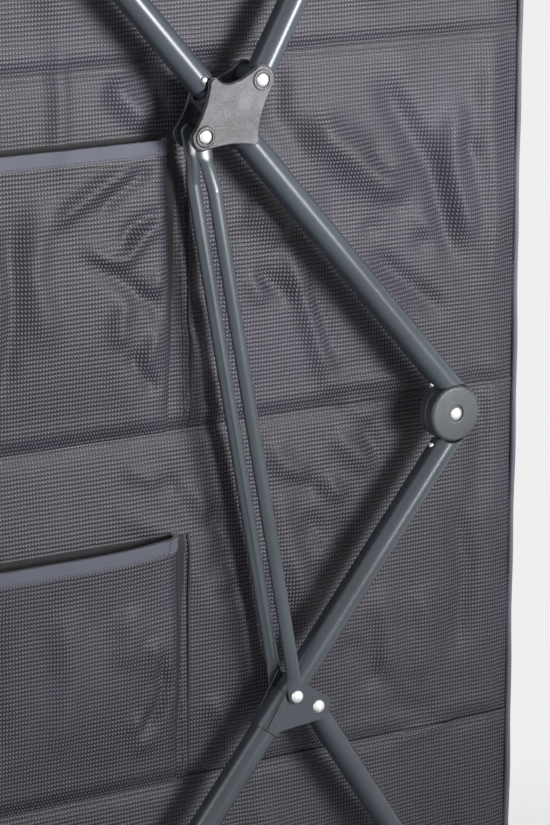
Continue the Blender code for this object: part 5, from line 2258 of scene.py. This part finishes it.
UPPER_POCKET_FOLDS = folds(
    (5, 2.6, -36, 695, -58, 687, -80, 674, -96, 664),
    (4, -1.8, -26, 694, -50, 680, -66, 668),
    (3.5, -1.8, -20, 668, -42, 660, -49, 648),
    (4.5, 2.4, -16, 662, -33, 656, -45, 643, -56, 641, -76, 654),
    (4.5, -2.2, -76, 650, -52, 633, -26, 614, -19, 596),
    (5, 1.8, -20, 632, -28, 625, -38, 622),
    (6, 1.8, -44, 620, -50, 607, -48, 590),
    (5, 1.7, -24, 600, -30, 586, -34, 570),
    (4, -1.8, -44, 590, -36, 578, -22, 560),
    (9, 1.8, -96, 690, -104, 640, -92, 590),
    (10, 2.0, -140, 690, -130, 630, -142, 570),
    (6, -1.4, -118, 680, -116, 620, -124, 560),
    (10, 1.8, -180, 690, -186, 630, -172, 570),
)
LOWER_POCKET_FOLDS = folds(
    (4, -2.0, -20, 410, -26, 398, -22, 384, -26, 372, -44, 352),
    (5, 1.6, -34, 416, -28, 404, -30, 390),
    (6, 1.6, -46, 372, -38, 360, -34, 344),
    (9, 1.5, -50, 440, -44, 420, -52, 400),
    (5, 1.6, -12, 440, -14, 400, -10, 360),
    (10, 1.8, -90, 450, -84, 400, -94, 350),
    (9, -1.4, -130, 456, -140, 400, -128, 350),
    (10, 1.8, -170, 450, -166, 400, -176, 350),
)


def face_map(piece: Piece) -> Piece:
    """Gives a flat-sided piece its cloth UV map in metres, from each face's own plane.

    Args:
        piece: the piece.

    Returns:
        The same piece.
    """
    layer = piece.data.uv_layers.new(name="cloth")
    for face in piece.data.polygons:
        drop = max(range(3), key=lambda axis: abs(face.normal[axis]))
        keep = [axis for axis in range(3) if axis != drop]
        for corner in face.loop_indices:
            place = piece.data.vertices[piece.data.loops[corner].vertex_index].co
            layer.data[corner].uv = (place[keep[0]], place[keep[1]])
    return piece


@dataclass
class ClothBody:
    """The hung cloth body: four walls with their hems, pockets, piping, loops and the door's zip."""

    hem: float = 14 * MM
    hem_gaps: Lengths = mm(0.4, 0.3)  # at its ends, at its edge
    hem_inset: float = 1.5 * MM
    hem_lifts: Lengths = mm(0.7, 0.75)  # of its cloth, of its stitches
    seam_end: float = 2 * MM
    seam_lifts: Lengths = mm(1.1, 0.1)  # of its cloth, of its stitches
    spans: Lengths = mm(229, 269.8)  # half a side wall, half an end wall
    bases: Lengths = mm(268.3, 229.3)  # how far out a side wall hangs, and an end wall
    board_face: float = 3 * MM
    first_level: float = 81 * MM
    side_slack: Crumple = Crumple(31, 44)
    end_seeds: tuple[int, int] = (57, 73)
    piping_radius: float = 1.7 * MM
    piping_lift: Lengths = mm(1.4, 0.2)  # along x, y
    piping_waves: tuple[Place, ...] = ((*mm(0.5, 37), 0), (*mm(0.35, 11), 1))  # height, length, phase
    zip_place: Lengths = mm(205, 62)  # how far aside it runs up, the level that it runs across at
    zip_half: float = 12 * MM
    zip_head: float = 40 * MM
    zip_lift: float = 0.75 * MM
    chain_lifts: Lengths = mm(0.6, 0.8)  # along the foot, up the sides
    zip_sew_lift: float = 1.0 * MM
    tooth: Lengths = mm(0.62, 1.5, 1.0)  # half width, half depth, height
    tooth_pitch: float = 2.0 * MM
    loop_half: float = 11 * MM
    loop_seat: float = 1.9 * MM
    loop_gap: float = 0.05 * MM
    loop_tail: Lengths = mm(20, 1)  # from below the cloth's top, to over it
    side_stops: tuple[int, ...] = (-150, -75, 0, 75, 150)
    end_stops: tuple[int, ...] = (-205, -125, -42, 42, 125, 205)
    walls: dict[Handed, Wall] = field(default_factory=dict)

    def build(self) -> None:
        """Builds the whole cloth body."""
        boards = [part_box(f"shelf_{word}")[0].z + self.board_face for word in SHELVES]
        levels = tuple(level / MM for level in (self.first_level, *boards, CLOTH_TOP))
        for side in Side:
            slack = self.side_slack.folds((-200, 90), (210, 940), 100)
            drape = Drape(SIDE_FOLDS + slack, levels, self.spans[0] / MM)
            facing = Vector((side.value, 0, 0))
            self.walls[side] = Wall(f"side_wall_{side.word}", facing, self.bases[0], self.spans[0], drape)
        for end, node, seed in zip(End, ("front_door", "back_wall"), self.end_seeds):
            long = Crumple(seed, 26, (120, 260), (10, 24), 1.6).folds((-230, 90), (230, 940), 94)
            short = Crumple(seed + 1, 60).folds((-240, 80), (240, 950), 100)
            drape = Drape(long + short, levels, self.spans[1] / MM, nip=1.0)
            facing = Vector((0, end.value, 0))
            self.walls[end] = Wall(node, facing, self.bases[1], self.spans[1], drape)
        self.walls[End.FRONT].drape.zip_line = self.zip_place[0] / MM
        pieces = [wall.build() for wall in self.walls.values()]
        bags = [bag for side in Side for bag in self.pockets(side)]
        for key, wall in self.walls.items():
            self.hems(key.name.lower(), wall)
            self.seams(key.name.lower(), wall, boards)
        for side in Side:
            for end in End:
                self.piping(side, end)
        self.zip_round(self.walls[End.FRONT])
        self.loops()
        self.declare(pieces)

    def pockets(self, side: Side) -> list[Piece]:
        """Both pockets' bags of a side.

        Args:
            side: left or right.

        Returns:
            The two bags.
        """
        wall = self.walls[side]
        # A pocket's bottom, top, rear, the rear of its panel and how far its mouth stands open.
        upper = Pocket("upper", wall, *mm(536, 707, -1, -15.5, 2), UPPER_POCKET_FOLDS)
        lower = Pocket("lower", wall, *mm(323, 472, -3, -12, 5), LOWER_POCKET_FOLDS, 4 * MM)
        return [upper.build(), lower.build()]

    def hems(self, word: str, wall: Wall) -> None:
        """A turned hem along a wall's head and foot, with its stitches.

        Args:
            word: the wall's word in names.
            wall: the wall.
        """
        half, gap = wall.half_span - self.hem_gaps[0], self.hem_gaps[1]
        for level, low in (("foot", CLOTH_FOOT + gap), ("head", CLOTH_TOP - self.hem - gap)):
            ends = ((-half, low), (half, low + self.hem))
            soft_piece(wall.tape(f"{level}_hem_{word}", ends, CLOTH, self.hem_lifts[0]), CLOTH)
        inset = self.hem - self.hem_inset
        runs = [((-half, level), (half, level)) for level in (CLOTH_FOOT + inset, CLOTH_TOP - inset)]
        wall.sew(f"hem_stitches_{word}", runs, self.hem_lifts[1])

    def seams(self, word: str, wall: Wall, levels: Sequence[float]) -> None:
        """The narrow seams across a wall where the shelves' cloth is sewn in.

        Args:
            word: the wall's word in names.
            wall: the wall.
            levels: the boards' levels.
        """
        half, (lift, sew_lift) = wall.half_span - self.seam_end, self.seam_lifts
        seam, drop = mm(1, 4)
        strips = [
            wall.tape(f"seam_{i}", ((-half, level - seam), (half, level + seam)), CLOTH, lift)
            for i, level in enumerate(levels)
        ]
        soft_piece(joined(f"shelf_seams_{word}", strips), CLOTH)
        runs = [((-half, level - drop), (half, level - drop)) for level in levels]
        wall.sew(f"seam_stitches_{word}", runs, sew_lift)

    def piping(self, side: Side, end: End) -> None:
        """The corded piping up a corner of the body, a little uneven as sewn.

        Args:
            side: left or right.
            end: front or rear.
        """
        rows = np.linspace(CLOTH_FOOT, CLOTH_TOP, 120)
        wave = sum(rise * np.sin(rows / length + phase) for rise, length, phase in self.piping_waves)
        x = side.value * (self.bases[0] + self.piping_lift[0] + wave)
        y = end.value * (self.bases[1] + self.piping_lift[1])
        radius = self.piping_radius
        base = points_mesh([(a, y, z) for a, z in zip(x, rows)], edges=True, girth=[radius] * len(rows))
        made = sweep_tree().grow(f"corner_piping_{end.word}_{side.word}", base, PIPING, Sides=10)
        places = np.array([vert.co for vert in made.data.vertices])
        around = (places[:, 0] + places[:, 1]) % (math.tau * radius)
        cloth_map(made.data, np.stack([around, places[:, 2]], axis=1))
        soft_piece(made, PIPING)

    def zip_round(self, door: Wall) -> None:
        """The zip: a chain of teeth on its tape along the door's foot and up both its sides.

        Args:
            door: the front wall.
        """
        x, level = self.zip_place
        half, (wide, deep, tall) = self.zip_half, self.tooth
        foot, head = level + half, CLOTH_TOP - self.zip_head
        part = Shape().block((-wide, -deep, 0), (wide, deep, tall), 0.3 * MM, 1).helper("zip_tooth", TEETH)
        flat = door.base + door.thickness
        corners = ((-x - half, -flat - self.zip_lift, level - half), (x + half, -flat, level + half))
        strip = Shape().block(*corners, 0.2 * MM, 1).finish("zip_tape_foot", TAPE_AND_SHADE)
        place_piece(face_map(strip), TAPE_AND_SHADE, "base")
        points = [(step, -flat - self.chain_lifts[0], level) for step in np.linspace(-x, x, 40)]
        chain = sewn("zip_chain_foot", part, points, door.facing, self.tooth_pitch, TEETH)
        place_piece(chain, TEETH, "base")
        for word, middle in (("left", -x), ("right", x)):
            ends = ((middle - half, foot), (middle + half, head))
            soft_piece(door.tape(f"zip_tape_{word}", ends, TAPE_AND_SHADE, self.zip_lift), TAPE_AND_SHADE, foot=foot)
            places = between(((middle, foot), (middle, head)), door.sew_step)
            points = door.to_space(places, door.distance(places, self.chain_lifts[1]))
            chain = sewn(f"zip_chain_{word}", part, points, door.facing, self.tooth_pitch, TEETH)
            soft_piece(chain, TEETH, foot=foot)
            row = half * 0.8
            runs = [((middle + gap, foot), (middle + gap, head)) for gap in (-row, row)]
            door.sew(f"zip_stitches_{word}", runs, self.zip_sew_lift, foot)

    def loops(self) -> None:
        """Webbing loops that hang the body from the top rails and crossbars."""
        low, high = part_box("top_crossbar_front")
        level, radius = (low.z + high.z) / 2, (high.z - low.z) / 2
        rows = (
            ("sides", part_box("top_rail_right")[0].x + radius, self.bases[0], Side, self.side_stops),
            ("ends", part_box("top_crossbar_rear")[0].y + radius, self.bases[1], End, self.end_stops),
        )
        for word, centre, base, kinds, stops in rows:
            part = self.loop(f"loop_{word}", radius, base + self.loop_seat - centre, level)
            for kind in kinds:
                at = kind.value * centre
                if kinds is Side:
                    turn, places = (1 - kind.value) * math.pi / 2, [(at, stop * MM, level) for stop in stops]
                else:
                    turn, places = kind.value * math.pi / 2, [(stop * MM, at, level) for stop in stops]
                base_mesh = points_mesh(places, turn=[(0.0, 0.0, turn)] * len(places))
                made = scatter_tree().grow(f"hanging_loops_{kind.name.lower()}", base_mesh, TAPE_AND_SHADE, Part=part)
                soft_piece(face_map(made), TAPE_AND_SHADE)

    def loop(self, name: str, radius: float, face: float, level: float) -> Piece:
        """One loop of webbing round a rail, with the tail that is sewn to the wall.

        Args:
            name: its name.
            radius: the rail's radius.
            face: how far out from the rail's axis the wall's face lies.
            level: the rail's height.

        Returns:
            The loop, hidden.
        """
        half, (thin, thick) = self.loop_half, mm(0.2, 0.8)
        seat, (below, over) = radius + self.loop_gap, self.loop_tail
        rises = (CLOTH_TOP - below - level, CLOTH_TOP + over - level)
        pairs = [(Vector((face - thick, rise)), Vector((face, rise))) for rise in rises]
        for i in range(33):
            turn = math.radians(-38 + 300 * i / 32)
            pressed = min(1.0, 1.4 * max(0.0, math.sin(turn)) ** 4)
            way = direction(turn)
            pairs.append((way * seat, way * (seat + thick + (thin - thick) * pressed)))
        rings = [
            [Vector((p.x, y, p.y)) for p, y in ((inner, -half), (outer, -half), (outer, half), (inner, half))]
            for inner, outer in pairs
        ]
        return Shape().skin(rings).helper(name, TAPE_AND_SHADE)

    def declare(self, walls: Sequence[Piece]) -> None:
        """Args:
            walls: the four walls' sheets.
        """
        for piece, wall in zip(walls, self.walls.values()):
            wall.half_span * 2


def zip_slider() -> None:
    """The zip's slider with its bridge and its pull."""
    low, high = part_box("zip_slider")
    middle, face, body_low = (low.x + high.x) / 2, high.y, high.z - 9 * MM
    shape = Shape().block((low.x, face - 3 * MM, body_low), (high.x, face, high.z), 1.0 * MM, 4)
    half, rise, inset = 2 * MM, 3.6 * MM, 1.5 * MM
    bridge = ((middle - half, face - rise, body_low + inset), (middle + half, face - half, high.z - inset))
    shape.block(*bridge, 0.6 * MM).dress("zip_slider", TEETH, "zip_slider")
    half, thick, lap = 3 * MM, 1.6 * MM, 5 * MM
    pull = ((middle - half, low.y, low.z), (middle + half, low.y + thick, body_low + lap))
    Shape().block(*pull, 0.7 * MM, 4).fit("zip_pull", PULL, "zip_slider")


# The studio


@dataclass(frozen=True)
class Lamp:
    """A soft lamp, of a width and a height in metres and a power in watts."""

    name: str
    place: Place
    size: tuple[float, float]
    power: float
    spread: float = math.pi
    aim: Place = (0.27, 0.05, 0.92)

    def build(self) -> None:
        """Hangs the lamp and turns it to what it lights."""
        data = bpy.data.lights.new(self.name, "AREA")
        data.shape = "RECTANGLE"
        data.size, data.size_y = self.size
        data.energy, data.spread = self.power, self.spread
        made = bpy.data.objects.new(self.name, data)
        made.location = self.place
        way = Vector(self.aim) - Vector(self.place)
        made.rotation_euler = way.to_track_quat("-Z", "Y").to_euler()
        bpy.context.scene.collection.objects.link(made)


LAMPS = (
    Lamp("key", (1.80, 0.80, 0.90), (0.6, 0.9), 4.9, 0.95),
    Lamp("fill", (1.0, -2.4, 1.5), (0.8, 1.2), 16),
    Lamp("back", (-2.2, 1.4, 2.2), (2.0, 2.0), 70),
    Lamp("top", (-0.6, -0.2, 2.8), (1.5, 1.5), 34, aim=(-0.1, 0.0, 1.0)),
    Lamp("front", (-0.7, -2.6, 1.2), (1.2, 1.2), 26, aim=(0.0, -0.23, 0.5)),
)


@dataclass
class Studio:
    """The camera at the photograph's angle, soft lamps and a pale floor."""

    heading: float = math.radians(58.5)
    rise: float = math.radians(14.7)
    focal_pixels: float = 3600.0
    pixels_per_metre: float = 1690.0
    picture: tuple[int, int] = (550, 825)
    anchor_pixel: Place = (458.0, 414.5)
    anchor: Place = (0.3045, 0.1651, 0.5289)
    sensor: float = 36.0
    clip: Lengths = (0.05, 50.0)
    surround: Colour = (0.8, 0.82, 0.86)
    surround_strength: float = 0.06
    backdrop: Colour = screen(239, 239, 239)
    floor_tone: Colour = screen(236, 236, 236)
    floor_half: float = 3.0
    floor_fade: Lengths = (0.45, 1.15)

    def build(self) -> None:
        """Sets up the view, the lamps and the floor."""
        self.camera()
        for lamp in LAMPS:
            lamp.build()
        self.world()
        self.floor()
        bpy.context.scene.view_settings.view_transform = "Standard"

    def camera(self) -> None:
        """The camera, placed so that the anchor lands on its pixel."""
        turn, lift = self.heading, self.rise
        back = Vector((math.sin(turn) * math.cos(lift), -math.cos(turn) * math.cos(lift), math.sin(lift)))
        right = Vector((math.cos(turn), math.sin(turn), 0))
        up = back.cross(right)
        width, height = self.picture
        scale = 1 / self.pixels_per_metre
        aside = (self.anchor_pixel[0] - width / 2) * scale
        above = (height / 2 - self.anchor_pixel[1]) * scale
        data = bpy.data.cameras.new("photo_camera")
        data.sensor_fit, data.sensor_height = "VERTICAL", self.sensor
        data.lens = self.focal_pixels / height * self.sensor
        data.clip_start, data.clip_end = self.clip
        made = bpy.data.objects.new("photo_camera", data)
        made.location = Vector(self.anchor) + back * (self.focal_pixels * scale) - right * aside - up * above
        made.rotation_euler = Matrix((right, up, back)).transposed().to_euler()
        bpy.context.scene.collection.objects.link(made)
        bpy.context.scene.camera = made

    def world(self) -> None:
        """A plain even surround, pale to the camera and in reflections."""
        world = bpy.data.worlds.new("surround")
        bpy.context.scene.world = world
        world.use_nodes = True
        tree = world.node_tree
        tree.nodes.clear()
        plain = {"Color": rgba(self.surround), "Strength": self.surround_strength}
        base = make_node(tree, "ShaderNodeBackground", {}, plain).outputs[0]
        pale = make_node(tree, "ShaderNodeBackground", {}, {"Color": rgba(self.backdrop)}).outputs[0]
        path = make_node(tree, "ShaderNodeLightPath", {}, {}).outputs
        seen = path["Is Camera Ray"]
        for word in ("Is Glossy Ray", "Is Transmission Ray"):
            seen = make_node(tree, "ShaderNodeMath", {}, {0: seen, 1: path[word]}).outputs[0]
        mixed = make_node(tree, "ShaderNodeMixShader", {}, {0: seen, 1: base, 2: pale}).outputs[0]
        make_node(tree, "ShaderNodeOutputWorld", {}, {"Surface": mixed})

    def floor(self) -> None:
        """The pale floor, which fades out round the cupboard."""
        mesh = bpy.data.meshes.new("floor")
        half = self.floor_half
        corners = [(-half, -half, 0), (half, -half, 0), (half, half, 0), (-half, half, 0)]
        mesh.from_pydata(corners, [], [(0, 1, 2, 3)])
        made = link("floor", mesh)
        graph = Graph("pale_floor")
        where = graph.places()
        pale = self.floor_tone
        away = graph.add("ShaderNodeVectorMath", {0: where}, "Value", operation="LENGTH")
        tone = graph.mix(graph.noise(where, 3.0, 2), rgba(pale, 0.97), rgba(pale))
        fade = 1.0 - away.smooth(*self.floor_fade)
        made.data.materials.append(graph.dress(Base_Color=tone, Roughness=0.75, Alpha=fade))


def main() -> None:
    """Builds the cupboard's pieces in order, and the studio round them."""
    logging.basicConfig(level=logging.INFO, format="%(message)s")
    rivet = Head("rivet_head", 4.0 * MM, 1.8 * MM)
    screw = Head("screw_head", 1.9 * MM, 1.045 * MM, 0.3)
    catches = {}
    for side in Side:
        linkage = Linkage(side, rivet, screw)
        linkage.build()
        catches[side] = linkage.brace_line("upper")[1]
    FrameEnds(catches).build()
    Boards().build()
    ClothBody().build()
    zip_slider()
    Studio().build()
    for part in HELPERS:
        bpy.data.objects.remove(part)


if __name__ == "__main__":
    main()
